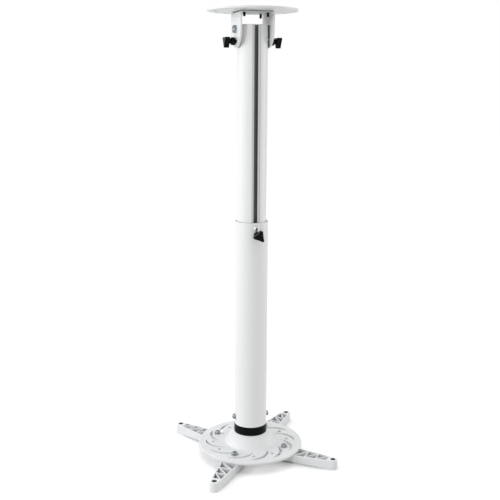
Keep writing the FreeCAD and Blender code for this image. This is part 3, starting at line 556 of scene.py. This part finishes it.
# Near black with a faint shine, on the knobs and the ring.
NYLON = MouldedNylon("black_moulded_nylon", "black_plastic", "#060707", "#0C0D0D", 0.24, 0.36)
# Bright, bluish metal with dark clouds and painted shade in its recesses, on bolts, nuts, studs and most screws.
ZINC = PlatedSteel("bright_zinc_plate", "zinc_steel", "#C0C7CA", "#2C3133", 0.20, 0.36, 1.0, "#2A2F31")
# Paler, duller metal with painted shade in its recesses, on the arms' washers and the guide screw.
PALE_ZINC = PlatedSteel("pale_zinc_plate", "zinc_steel", "#DCDEDD", "#C0C5C6", 0.28, 0.42, 1.0, "#33393B")
# Dark grey, dull metal with painted shade in its recesses, on the countersunk screws.
BLACK_OXIDE = PlatedSteel("black_oxide_steel", "black_steel", "#26282A", "#1B1C1D", 0.36, 0.52, 1.0,
                          "#101112")
# Light grey metal with soft rings, on the plug and the cup.
TURNED = TurnedMetal("turned_aluminium", "bare_aluminium", "#C9CBCB", "#B4B7B7", 0.26, 0.4, 1.0)


class Way(Enum):
    """Directions in which a fastener's head can point."""

    UP = (0, 0, 1)
    LEFT = (-1, 0, 0)
    RIGHT = (1, 0, 0)
    FRONT = (0, -1, 0)

    def turn(self) -> Matrix:
        """Turn that takes the upward direction to this one."""
        return Vector(Way.UP.value).rotation_difference(Vector(self.value)).to_matrix().to_4x4()


class Part(Enum):
    """Parts of a mesh that can be picked."""

    EDGE = "EDGE"
    FACE = "FACE"


class Join(Enum):
    """Ways of working one shape with another."""

    CUT = "DIFFERENCE"
    KEEP = "INTERSECT"


def alone(piece: Piece) -> None:
    """Makes a piece the only one that is selected.

    Args:
        piece: piece to work on next.
    """
    bpy.ops.object.select_all(action="DESELECT")
    piece.select_set(True)
    bpy.context.view_layer.objects.active = piece


def set_in_mesh() -> None:
    """Takes the place, turn and scale of the selected piece into its mesh."""
    bpy.ops.object.transform_apply(location=True, rotation=True, scale=True)


def blank(name: str, add: Callable[..., set], **sizes: object) -> Piece:
    """Adds a primitive to be worked on, with nothing else selected.

    Args:
        name: name of the piece.
        add: the operator that adds the primitive.
        sizes: its sizes and place.

    Returns:
        The new piece, its place in its mesh.
    """
    bpy.ops.object.select_all(action="DESELECT")
    add(**sizes)
    piece = bpy.context.object
    piece.name = name
    piece.data.name = name
    set_in_mesh()
    return piece


def place(piece: Piece, where: Matrix) -> Piece:
    """Moves a piece that lies at the origin.

    Args:
        piece: piece to move.
        where: its new place and turn.

    Returns:
        The same piece, its place in its mesh.
    """
    piece.matrix_world = where
    alone(piece)
    set_in_mesh()
    return piece


def pick(piece: Piece, part: Part, chosen: Callable[[Vector, Vector], bool]) -> None:
    """Opens a piece for editing with the chosen faces or edges selected.

    Args:
        piece: piece to open.
        part: faces or edges.
        chosen: test on a face's middle and normal, or on an edge's two ends.
    """
    alone(piece)
    bpy.ops.object.mode_set(mode="EDIT")
    bpy.ops.mesh.select_mode(type=part.value)
    bpy.ops.mesh.select_all(action="DESELECT")
    bpy.ops.object.mode_set(mode="OBJECT")
    mesh = piece.data
    if part is Part.FACE:
        for face in mesh.polygons:
            face.select = chosen(face.center, face.normal)
    else:
        for edge in mesh.edges:
            edge.select = chosen(*(mesh.vertices[number].co for number in edge.vertices))
    bpy.ops.object.mode_set(mode="EDIT")


def close_edit() -> None:
    """Closes the piece that is open for editing."""
    bpy.ops.object.mode_set(mode="OBJECT")


def at_height(level: float) -> Callable[[Vector, Vector], bool]:
    """Test for an edge that lies flat at a height."""
    return lambda first, second: abs(first.z - level) < TOUCH and abs(second.z - level) < TOUCH


def faces_down(_middle: Vector, normal: Vector) -> bool:
    """Test for a face that points down."""
    return normal.z < DOWNWARD


def round_edge(piece: Piece, level: float, size: float, steps: int = 1) -> None:
    """Bevels the edges that lie at one height.

    Args:
        piece: piece to work on.
        level: height of the edges.
        size: width of the bevel.
        steps: 1 for a chamfer, more for a round.
    """
    pick(piece, Part.EDGE, at_height(level))
    bpy.ops.mesh.bevel(offset=size, segments=steps, profile=0.5, affect="EDGES", clamp_overlap=True)
    close_edit()


def narrow_bottom(piece: Piece, share_x: float, share_y: float, level: float) -> None:
    """Draws in the lower face of a tool.

    Args:
        piece: tool to work on.
        share_x: share of its width that is left across.
        share_y: share of its width that is left from front to back.
        level: height of the tool's middle.
    """
    pick(piece, Part.FACE, faces_down)
    bpy.ops.transform.resize(value=(share_x, share_y, 1), center_override=(0, 0, level))
    close_edit()


def work(piece: Piece, tool: Piece, how: Join) -> None:
    """Cuts a piece by a tool, or keeps what they share, and removes the tool.

    Args:
        piece: piece to work on.
        tool: piece that shapes it.
        how: what is kept.
    """
    alone(piece)
    change = piece.modifiers.new("shape", "BOOLEAN")
    change.operation = how.value
    change.solver = "EXACT"
    change.object = tool
    bpy.ops.object.modifier_apply(modifier=change.name)
    bpy.data.objects.remove(tool)


def join(name: str, parts: Iterable[Piece]) -> Piece:
    """Joins several pieces to one.

    Args:
        name: name of the joined piece.
        parts: pieces to join.

    Returns:
        The joined piece.
    """
    first, *others = parts
    alone(first)
    for part in others:
        part.select_set(True)
    if others:
        bpy.ops.object.join()
    first.name = name
    first.data.name = name
    return first


def copies(name: str, model: Piece, spots: Iterable[tuple[Vector, Way]]) -> Piece:
    """Sets down a copy of a modelled piece at each spot, and removes the model.

    Args:
        name: name of the group.
        model: piece along the upward direction, its seat at the origin.
        spots: place and direction of each copy.

    Returns:
        All copies as one piece, their places in its mesh.
    """
    parts = []
    for spot, way in spots:
        alone(model)
        bpy.ops.object.duplicate()
        parts.append(place(bpy.context.object, Matrix.Translation(spot) @ way.turn()))
    bpy.data.objects.remove(model)
    return join(name, parts)


@dataclass(frozen=True)
class Thread:
    """Threaded bar, in millimetres: a core with one ridge wound round it.

    The thread's depth, the ridge's size and the chamfer of the ends are in pitches.
    """

    radius: float
    pitch: float
    length: float
    depth: float = 0.6
    ridge: float = 0.5
    ridge_sides: int = 3
    chamfer: float = 0.4
    plain_turns: int = 2
    steps: int = 20

    def model(self, name: str) -> Piece:
        """Models the bar upwards from the origin.

        Args:
            name: name of the piece.

        Returns:
            The bar, its two ends chamfered.
        """
        core_radius = (self.radius - self.depth * self.pitch) * MM
        length = self.length * MM
        core = blank(f"{name}_core", bpy.ops.mesh.primitive_cylinder_add, vertices=CORE_SIDES,
                     radius=core_radius, depth=length, location=(0, 0, length / 2))
        for level in (0.0, length):
            round_edge(core, level, self.chamfer * self.pitch * MM)
        ridge = blank(f"{name}_ridge", bpy.ops.mesh.primitive_circle_add, vertices=self.ridge_sides,
                      radius=self.ridge * self.pitch * MM, fill_type="NOTHING",
                      rotation=(math.pi / 2, math.pi / 2, 0))
        crest = max(vertex.co.x for vertex in ridge.data.vertices)
        bpy.ops.object.mode_set(mode="EDIT")
        bpy.ops.mesh.select_all(action="SELECT")
        bpy.ops.transform.translate(value=(self.radius * MM - crest, 0, self.pitch * MM))
        close_edit()
        wind = ridge.modifiers.new("wind", "SCREW")
        wind.axis = "Z"
        wind.screw_offset = self.pitch * MM
        wind.iterations = max(1, math.floor(self.length / self.pitch - self.plain_turns))
        wind.steps = self.steps
        wind.render_steps = self.steps
        wind.use_merge_vertices = False
        bpy.ops.object.modifier_apply(modifier=wind.name)
        bpy.ops.object.mode_set(mode="EDIT")
        bpy.ops.mesh.select_mode(type="VERT")
        bpy.ops.mesh.select_all(action="SELECT")
        bpy.ops.mesh.remove_doubles(threshold=TOUCH)
        bpy.ops.mesh.select_all(action="DESELECT")
        bpy.ops.mesh.select_non_manifold()
        bpy.ops.mesh.fill_holes(sides=0)
        bpy.ops.mesh.select_all(action="SELECT")
        bpy.ops.mesh.normals_make_consistent(inside=False)
        close_edit()
        return join(name, (core, ridge))

    def hang(self, name: str, end: float) -> Piece:
        """Models the bar with its lower end this many millimetres below the origin."""
        return place(self.model(name), Matrix.Translation((0, 0, -end * MM)))


@dataclass(frozen=True)
class CrossRecess:
    """Recess for a cross-head driver, in millimetres: two tapered slots that cross."""

    reach: float = 2.9
    half: float = 0.75
    deep: float = 2.6
    reach_taper: float = 0.3
    half_taper: float = 0.55

    def sink(self, piece: Piece, level: float) -> None:
        """Cuts the recess down into a piece from a height.

        Args:
            piece: screw whose head points upwards.
            level: height of the head's top in metres.
        """
        for turn in (0.0, math.pi / 2):
            slot = blank("recess_tool", bpy.ops.mesh.primitive_cube_add, size=1,
                         scale=(2 * self.reach * MM, 2 * self.half * MM, 2 * self.deep * MM),
                         location=(0, 0, level))
            narrow_bottom(slot, self.reach_taper, self.half_taper, level)
            work(piece, place(slot, Matrix.Rotation(turn, 4, "Z")), Join.CUT)


@dataclass(frozen=True)
class CrossScrew:
    """Screw with a cross recess, in millimetres. Its length is that of its threaded shank."""

    length: float
    head_radius: float
    shank_radius: float
    pitch: float
    recess: CrossRecess

    def head(self, name: str) -> tuple[Piece, float]:
        """Models the head upwards, and gives it with the height of its top in metres."""
        raise NotImplementedError

    def model(self, name: str) -> Piece:
        """Models the screw with its head upwards and its shank down from the origin.

        Args:
            name: name of the piece.

        Returns:
            The screw.
        """
        head, top = self.head(f"{name}_head")
        self.recess.sink(head, top)
        thread = Thread(self.shank_radius, self.pitch, self.length)
        return join(name, (head, thread.hang(f"{name}_shank", self.length)))


@dataclass(frozen=True)
class PanScrew(CrossScrew):
    """Screw with a rounded head that stands on its seat at the origin."""

    head_radius: float = 4.2
    shank_radius: float = 2.5
    pitch: float = 0.8
    recess: CrossRecess = CrossRecess()
    head_high: float = 3.7
    crown: float = 2.4
    crown_steps: int = 6
    foot_chamfer: float = 0.25

    def head(self, name: str) -> tuple[Piece, float]:
        """Models the rounded head.

        Args:
            name: name of the piece.

        Returns:
            The head, and the height of its top in metres.
        """
        top = self.head_high * MM
        piece = blank(name, bpy.ops.mesh.primitive_cylinder_add, vertices=HEAD_SIDES,
                      radius=self.head_radius * MM, depth=top, location=(0, 0, top / 2))
        round_edge(piece, top, self.crown * MM, self.crown_steps)
        round_edge(piece, 0.0, self.foot_chamfer * MM)
        return piece, top


@dataclass(frozen=True)
class SunkScrew(CrossScrew):
    """Countersunk screw, the top of its head at the origin."""

    shank_radius: float = 2.0
    pitch: float = 0.7
    recess: CrossRecess = CrossRecess(2.1, 0.5, 1.6)
    rim_chamfer: float = 0.12

    def head(self, name: str) -> tuple[Piece, float]:
        """Models the conical head.

        Args:
            name: name of the piece.

        Returns:
            The head, and the height of its top in metres.
        """
        high = (self.head_radius - self.shank_radius) * MM
        piece = blank(name, bpy.ops.mesh.primitive_cone_add, vertices=SUNK_HEAD_SIDES,
                      radius1=self.shank_radius * MM, radius2=self.head_radius * MM, depth=high,
                      location=(0, 0, -high / 2))
        round_edge(piece, 0.0, self.rim_chamfer * MM)
        return piece, 0.0


@dataclass(frozen=True)
class HexBlank:
    """Six-sided nut, or head with a pressed dish, in millimetres, its corners turned.

    The chamfer and the dish are shares of the width across flats, the dish's floor is a share of the dish,
    and the drill is so many times as high as the nut.
    """

    flat: float
    high: float
    bore: float = 0.0
    turn: float = 30.0
    sides: int = 6
    corner_room: float = 1.002
    chamfer: float = 0.1
    dish: float = 0.72
    dish_deep: float = 0.9
    dish_floor: float = 0.6
    drill_high: float = 3.0

    def model(self, name: str) -> Piece:
        """Models the blank upwards from the origin.

        Args:
            name: name of the piece.

        Returns:
            The nut with its bore, or the head with its dish.
        """
        high = self.high * MM
        corner = self.flat * MM / 2 / math.cos(math.pi / self.sides)
        piece = blank(name, bpy.ops.mesh.primitive_cylinder_add, vertices=self.sides, radius=corner,
                      depth=high, location=(0, 0, high / 2), rotation=(0, 0, math.radians(self.turn)))
        turned = blank(f"{name}_corners", bpy.ops.mesh.primitive_cylinder_add, vertices=HEAD_SIDES,
                       radius=corner * self.corner_room, depth=high, location=(0, 0, high / 2))
        for level in (0.0, high) if self.bore else (high,):
            pick(turned, Part.EDGE, at_height(level))
            bpy.ops.mesh.bevel(offset=self.chamfer * self.flat * MM, offset_type="OFFSET", segments=1,
                               affect="EDGES")
            close_edit()
        work(piece, turned, Join.KEEP)
        if self.bore:
            tool = blank(f"{name}_drill", bpy.ops.mesh.primitive_cylinder_add, vertices=SHANK_SIDES,
                         radius=self.bore * MM, depth=self.drill_high * high, location=(0, 0, high / 2))
        else:
            tool = blank(f"{name}_dish", bpy.ops.mesh.primitive_cylinder_add, vertices=SHANK_SIDES,
                         radius=self.dish * self.flat / 2 * MM, depth=2 * self.dish_deep * MM,
                         location=(0, 0, high))
            narrow_bottom(tool, self.dish_floor, self.dish_floor, high)
        work(piece, tool, Join.CUT)
        return piece


@dataclass(frozen=True)
class HexBolt:
    """Hexagon bolt, in millimetres: a plain shank whose end is threaded."""

    length: float
    threaded: float
    flat: float = 10.0
    head_high: float = 4.0
    radius: float = 3.0
    pitch: float = 1.0
    turn: float = 30.0
    shank_chamfer: float = 0.3

    def model(self, name: str) -> Piece:
        """Models the bolt with its head upwards and its seat at the origin.

        Args:
            name: name of the piece.

        Returns:
            The bolt.
        """
        head = HexBlank(self.flat, self.head_high, turn=self.turn).model(f"{name}_head")
        plain = (self.length - self.threaded) * MM
        shank = blank(f"{name}_shank", bpy.ops.mesh.primitive_cylinder_add, vertices=SHANK_SIDES,
                      radius=self.radius * MM, depth=plain, location=(0, 0, -plain / 2))
        round_edge(shank, -plain, self.shank_chamfer * MM)
        end = Thread(self.radius, self.pitch, self.threaded).hang(f"{name}_end", self.length)
        return join(name, (head, shank, end))


@dataclass
class SubAssembly:
    """A group of pieces that are dressed together."""

    made: list[str] = field(default_factory=list)

    def dress(self, node: str, finish: Finish) -> None:
        """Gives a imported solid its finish.

        Args:
            node: name of the solid.
            finish: its finish.
        """
        solid = frame["nodes"][node]
        if not solid.material_slots:
            solid.data.materials.append(None)
        for slot in solid.material_slots:
            slot.material = finish.material()
        self.made.append(f"{node}: {finish.name}")

    def keep(self, piece: Piece, body: str, finish: Finish, *nodes: str) -> None:
        """Gives a new piece its finish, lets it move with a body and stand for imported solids.

        Args:
            piece: new piece, in its place.
            body: body that carries it.
            finish: its finish.
            nodes: solids that it stands for.
        """
        alone(piece)
        bpy.ops.object.shade_smooth_by_angle(angle=math.radians(SHARP))
        piece.data.materials.clear()
        piece.data.materials.append(finish.material())
        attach(piece, body)
        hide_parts(*nodes)
        self.made.append(f"{piece.name}: {finish.name}, {len(piece.data.polygons)} faces")

    def assemble(self) -> None:
        """Models and dresses the group's pieces."""
        raise NotImplementedError

    def build(self) -> list[str]:
        """Builds the group, and gives a line on each piece."""
        self.assemble()
        return self.made


def ends(node: str) -> tuple[Vector, Vector, Vector]:
    """Lowest corner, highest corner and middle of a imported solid."""
    low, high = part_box(node)
    return low, high, (low + high) / 2


def tube_coat(node: str) -> TubeCoat:
    """Coat of a packed tube, with painted shade from just below its upper end."""
    return replace(TUBE_COAT, name=f"white_coat_{node}", end_shade_from=ends(node)[1].z - END_SHADE_BAND * MM)


@dataclass
class CeilingMount(SubAssembly):
    """Round plate, folded yoke, its countersunk screws and the bolt of the tilt axis."""

    screw_x: float = 16.5
    screw_y: float = 17.0
    screw_head: float = 3.9
    nut_high: float = 5.0
    threaded: float = 12.0
    flats_level: float = 0.0
    sheet: float = 2.1

    def assemble(self) -> None:
        """Models and dresses the ceiling mount."""
        self.dress("ceiling_plate", STEEL_COAT)
        _, high, _ = ends("yoke_bracket")
        self.dress("yoke_bracket", replace(FOLDED_COAT, joint=high.z, inside=high.x - self.sheet * MM,
                                           tube_top=ends("upper_tube")[1].z))
        self.screws()
        self.axis()

    def screws(self) -> None:
        """Models the four countersunk screws, whose ends hang below the web."""
        low, high, _ = ends("bracket_screws")
        model = SunkScrew((high.z - low.z) / MM, self.screw_head).model("bracket_screw")
        spots = [(Vector((x * MM, y * MM, high.z)), Way.UP)
                 for x in (-self.screw_x, self.screw_x) for y in (-self.screw_y, self.screw_y)]
        self.keep(copies("bracket_screw_set", model, spots), "ceiling_mount", BLACK_OXIDE,
                  "bracket_screws")

    def axis(self) -> None:
        """Models the bolt through both ears, and its nut."""
        low, high, middle = ends("pivot_bolt")
        length = (high.x - low.x) / MM - HexBolt.head_high
        bolt = HexBolt(length, self.threaded, turn=self.flats_level).model("tilt_bolt_model")
        seat = Vector((low.x + HexBolt.head_high * MM, middle.y, middle.z))
        self.keep(copies("tilt_bolt", bolt, [(seat, Way.LEFT)]), "ceiling_mount", ZINC, "pivot_bolt")
        low, _, middle = ends("pivot_nut")
        bore = HexBolt.radius + NUT_GAP
        nut = HexBlank(HexBolt.flat, self.nut_high, bore, self.flats_level).model("tilt_nut_model")
        seat = Vector((low.x, middle.y, middle.z))
        self.keep(copies("tilt_nut", nut, [(seat, Way.RIGHT)]), "ceiling_mount", ZINC, "pivot_nut")


@dataclass
class UpperColumn(SubAssembly):
    """Drawn tube with the open track, and what is fixed inside it."""

    def assemble(self) -> None:
        """Dresses the upper column."""
        self.dress("upper_tube", tube_coat("upper_tube"))
        self.dress("clamp_nuts", ZINC)
        self.dress("glide_cap", NYLON)


@dataclass
class HandClamp(SubAssembly):
    """Lobed hand knob on a threaded stud."""

    knob: str = ""
    stud: str = ""
    body: str = ""
    way: Way = Way.FRONT
    stud_radius: float = 2.5
    pitch: float = 0.8

    def assemble(self) -> None:
        """Dresses the knob and models the stud."""
        self.dress(self.knob, NYLON)
        low, high, middle = ends(self.stud)
        reach = Vector(self.way.value)
        length = abs((high - low).dot(reach))
        model = Thread(self.stud_radius, self.pitch, length / MM).model(f"{self.stud}_model")
        start = middle - reach * length / 2
        piece = copies(f"{self.stud}_thread", model, [(start, self.way)])
        self.keep(piece, self.body, ZINC, self.stud)


@dataclass
class LowerColumn(SubAssembly):
    """Sleeve with its guide screw, slide bar, plug and seat ring."""

    plug_screw_length: float = 9.0

    def assemble(self) -> None:
        """Dresses the lower column and models its screws."""
        self.dress("lower_tube", tube_coat("lower_tube"))
        self.dress("slide_bar", ZINC)
        self.dress("tube_plug", TURNED)
        self.dress("seat_ring", NYLON)
        inset = PanScrew.head_high * MM
        low, high, middle = ends("guide_screw")
        guide = PanScrew((high.y - low.y) / MM - PanScrew.head_high).model("guide_screw_model")
        seat = Vector((middle.x, low.y + inset, middle.z))
        self.keep(copies("guide_cross_screw", guide, [(seat, Way.FRONT)]), "lower_column", PALE_ZINC,
                  "guide_screw")
        low, high, middle = ends("plug_screws")
        side = PanScrew(self.plug_screw_length).model("plug_screw_model")
        spots = [(Vector((low.x + inset, middle.y, middle.z)), Way.LEFT),
                 (Vector((high.x - inset, middle.y, middle.z)), Way.RIGHT)]
        self.keep(copies("plug_cross_screws", side, spots), "lower_column", ZINC, "plug_screws")


@dataclass
class SwivelHead(SubAssembly):
    """Domed disc with its cup and saddle, the bolt that clamps them, and the screws of the arms."""

    arm_nut_flat: float = 8.0
    threaded: float = 16.0

    def assemble(self) -> None:
        """Dresses the head and models its bolt, nuts and screws."""
        self.dress("spider_plate", CAST_PAINT)
        self.dress("clamp_cup", TURNED)
        self.dress("saddle_washer", ZINC)
        self.dress("arm_washers", PALE_ZINC)
        self.bolt()
        self.arm_fasteners()

    def bolt(self) -> None:
        """Models the swivel bolt and its nut."""
        low, high, middle = ends("swivel_bolt")
        length = (high.z - low.z) / MM - HexBolt.head_high
        model = HexBolt(length, self.threaded).model("swivel_bolt_model")
        seat = Vector((middle.x, middle.y, high.z - HexBolt.head_high * MM))
        self.keep(copies("swivel_hex_bolt", model, [(seat, Way.UP)]), "head_bolt", ZINC, "swivel_bolt")
        low, high, middle = ends("swivel_nut")
        bore = HexBolt.radius + NUT_GAP
        nut = HexBlank(HexBolt.flat, (high.z - low.z) / MM, bore).model("swivel_nut_model")
        seat = Vector((middle.x, middle.y, low.z))
        self.keep(copies("swivel_hex_nut", nut, [(seat, Way.UP)]), "head_bolt", ZINC, "swivel_nut")

    def arm_fasteners(self) -> None:
        """Models the screw and the nut at the root of each arm."""
        places = [joint["pos_m"][:2] for joint in frame["joints"] if joint["name"].endswith("arm_turn")]
        low, high, _ = ends("arm_screws")
        screw = PanScrew((high.z - low.z) / MM - PanScrew.head_high).model("arm_screw_model")
        seat = high.z - PanScrew.head_high * MM
        spots = [(Vector((x, y, seat)), Way.UP) for x, y in places]
        self.keep(copies("arm_cross_screws", screw, spots), "spider", ZINC, "arm_screws")
        low, high, _ = ends("arm_nuts")
        bore = PanScrew.shank_radius + NUT_GAP
        nut = HexBlank(self.arm_nut_flat, (high.z - low.z) / MM, bore).model("arm_nut_model")
        spots = [(Vector((x, y, low.z)), Way.UP) for x, y in places]
        self.keep(copies("arm_hex_nuts", nut, spots), "spider", ZINC, "arm_nuts")


@dataclass
class Arms(SubAssembly):
    """Four ribbed arms under the disc."""

    sides: tuple[str, ...] = ("front_left", "front_right", "rear_right", "rear_left")

    def assemble(self) -> None:
        """Dresses the arms, each with its painted shade laid along itself."""
        screws = {joint["name"]: joint["pos_m"] for joint in frame["joints"] if "pos_m" in joint}
        holes = {mount["name"]: mount["pos_m"] for mount in frame["record"]["mounts"]}
        for side in self.sides:
            screw = Vector(screws[f"{side}_arm_turn"][:2])
            reach = Vector(holes[f"{side}_bolt"][:2]) - screw
            _, high, _ = ends(f"arm_{side}")
            paint = replace(ARM_PAINT, name=f"white_paint_{side}_arm", screw=tuple(screw),
                            angle=math.atan2(reach.y, reach.x), top=high.z)
            self.dress(f"arm_{side}", paint)


@dataclass(frozen=True)
class Lamp:
    """Soft lamp: where it stands, its two sides in metres, its power in watts, its colour and its aim."""

    name: str
    stand: Point
    size: tuple[float, float]
    power: float
    colour: str = "#FFFFFF"
    aim: Point = (0, 0, -0.32)

    def light(self) -> None:
        """Adds the lamp to the studio."""
        data = bpy.data.lights.new(self.name, "AREA")
        data.shape = "RECTANGLE"
        data.size, data.size_y = self.size
        data.energy = self.power
        data.color = linear(self.colour)[:3]
        lamp = bpy.data.objects.new(self.name, data)
        bpy.context.scene.collection.objects.link(lamp)
        lamp.location = self.stand
        look = Vector(self.aim) - Vector(self.stand)
        lamp.rotation_euler = look.to_track_quat("-Z", "Y").to_euler()


@dataclass
class Studio:
    """White floor and world, soft lamps, and the camera of the photograph."""

    distance: float = 1.1587
    side_shift: float = -0.0019
    side_turn: float = 16.13
    camera_height: float = -0.0914
    pitch: float = 11.79
    roll: float = 0.30
    lens: float = 59.3
    sensor: float = 36.0
    near_clip: float = 0.05
    floor_side: float = 12.0
    floor_gap: float = 0.1
    floor_colour: str = "#C8C8C8"
    ambient: float = 0.64
    near_lift: float = 0.62
    far_lift: float = 0.75
    near_edge: float = 0.25
    far_edge: float = 1.1
    shade_reach: float = 0.018
    lamps: tuple[Lamp, ...] = (
        Lamp("front_lamp", (-1.243, -1.159, 0.38), (0.2, 0.28), 5.0),
        Lamp("left_lamp", (-2.2, -0.15, 0.25), (1.2, 1.5), 12.4, "#F3F7FF"),
        Lamp("back_lamp", (-1.98, 0.96, 0.1), (1.0, 1.4), 8.0, "#F3F7FF"),
        Lamp("right_lamp", (1.895, -0.133, -0.1), (0.6, 1.4), 8.5),
        Lamp("top_lamp", (-0.1, 0.3, 1.4), (0.9, 0.9), 5.0, aim=(0, 0, -0.6)),
    )

    def build(self) -> None:
        """Sets up the stage, the lamps and the camera."""
        scene = bpy.context.scene
        scene.view_settings.view_transform = "Standard"
        self.world(scene)
        self.floor()
        for lamp in self.lamps:
            lamp.light()
        self.camera(scene)

    def seen_directly(self, tree: Tree) -> Node:
        """Adds a test for rays that show the background itself.

        Args:
            tree: nodes that use the test.

        Returns:
            Node that gives 1 for camera, mirror and see-through rays.
        """
        rays = add_node(tree, "LightPath").outputs
        first = add_node(tree, "Math", {0: rays["Is Camera Ray"], 1: rays["Is Glossy Ray"]},
                         operation="MAXIMUM")
        return add_node(tree, "Math", {0: first, 1: rays["Is Transmission Ray"]}, operation="MAXIMUM")

    def world(self, scene: bpy.types.Scene) -> None:
        """Makes a world that looks white and lights the object evenly.

        Args:
            scene: scene that gets the world.
        """
        world = bpy.data.worlds.new("white_studio")
        world.use_nodes = True
        tree = world.node_tree
        back = next(node for node in tree.nodes if node.type == "BACKGROUND")
        back.inputs["Color"].default_value = linear("#FFFFFF")
        level = add_node(tree, "MapRange", {
            "Value": self.seen_directly(tree), "To Min": self.ambient, "To Max": 1.0,
        })
        tree.links.new(level.outputs[0], back.inputs["Strength"])
        scene.world = world

    def floor(self) -> None:
        """Lays a white floor under the arms that keeps the object's shadow, adds a painted contact shadow near the
        object, and is clear from below.
        """
        level = CAD_BOX[0].z - self.floor_gap * MM
        floor = blank("studio_floor", bpy.ops.mesh.primitive_plane_add, size=self.floor_side,
                      location=(0, 0, level))
        paper = bpy.data.materials.new("white_studio_paper")
        paper.use_nodes = True
        tree = paper.node_tree
        tree.nodes.clear()
        matt = add_node(tree, "BsdfDiffuse", {"Color": linear(self.floor_colour)})
        where = add_node(tree, "TexCoord").outputs["Object"]
        plan = add_node(tree, "VectorMath", {0: where, 1: PLAN}, operation="MULTIPLY")
        away = add_node(tree, "VectorMath", {0: plan}, operation="LENGTH").outputs["Value"]
        fade = add_node(tree, "MapRange", {
            "Value": away, "From Min": self.near_edge, "From Max": self.far_edge,
            "To Min": self.near_lift, "To Max": self.far_lift,
        })
        # Ambient occlusion dims the glow near the object: a painted contact shadow on the floor.
        open_sky = add_node(tree, "AmbientOcclusion", {"Distance": self.shade_reach}).outputs["AO"]
        shaded = add_node(tree, "Math", {0: fade, 1: open_sky}, operation="MULTIPLY")
        seen = self.seen_directly(tree)
        lift = add_node(tree, "Math", {0: seen, 1: shaded}, operation="MULTIPLY")
        glow = add_node(tree, "Emission", {"Strength": lift})
        both = add_node(tree, "AddShader", {0: matt, 1: glow})
        below = add_node(tree, "NewGeometry").outputs["Backfacing"]
        clear = add_node(tree, "BsdfTransparent")
        sided = add_node(tree, "MixShader", {0: below, 1: both, 2: clear})
        add_node(tree, "OutputMaterial", {"Surface": sided})
        floor.data.materials.append(paper)

    def camera(self, scene: bpy.types.Scene) -> None:
        """Stands the camera where the photograph was taken from.

        Args:
            scene: scene that gets the camera.
        """
        data = bpy.data.cameras.new("photo_camera")
        data.lens = self.lens
        data.sensor_width = self.sensor
        data.clip_start = self.near_clip
        camera = bpy.data.objects.new("photo_camera", data)
        scene.collection.objects.link(camera)
        turn = math.radians(self.side_turn)
        lean = math.radians(self.pitch)
        across = Vector((math.cos(turn), -math.sin(turn), 0))
        back = Vector((math.sin(turn), math.cos(turn), 0)) * -self.distance
        camera.location = back + across * self.side_shift + Vector((0, 0, self.camera_height))
        look = Vector((math.sin(turn) * math.cos(lean), math.cos(turn) * math.cos(lean), -math.sin(lean)))
        level = look.to_track_quat("-Z", "Y")
        camera.rotation_euler = (level @ Quaternion((0, 0, 1), math.radians(self.roll))).to_euler()
        scene.camera = camera


def main() -> None:
    """Builds the groups in order, then the studio, and reports each piece."""
    logging.basicConfig(level=logging.INFO, format="%(message)s")
    groups = (
        CeilingMount(),
        UpperColumn(),
        HandClamp(knob="tilt_knob_left", stud="tilt_stud_left", body="tilt_clamp_left", way=Way.LEFT),
        HandClamp(knob="tilt_knob_right", stud="tilt_stud_right", body="tilt_clamp_right", way=Way.RIGHT),
        LowerColumn(),
        HandClamp(knob="height_knob", stud="height_stud", body="height_lock", way=Way.FRONT),
        SwivelHead(),
        Arms(),
    )
    for group in groups:
        for line in group.build():
            LOG.info("%s", line)
    Studio().build()


if __name__ == "__main__":
    main()
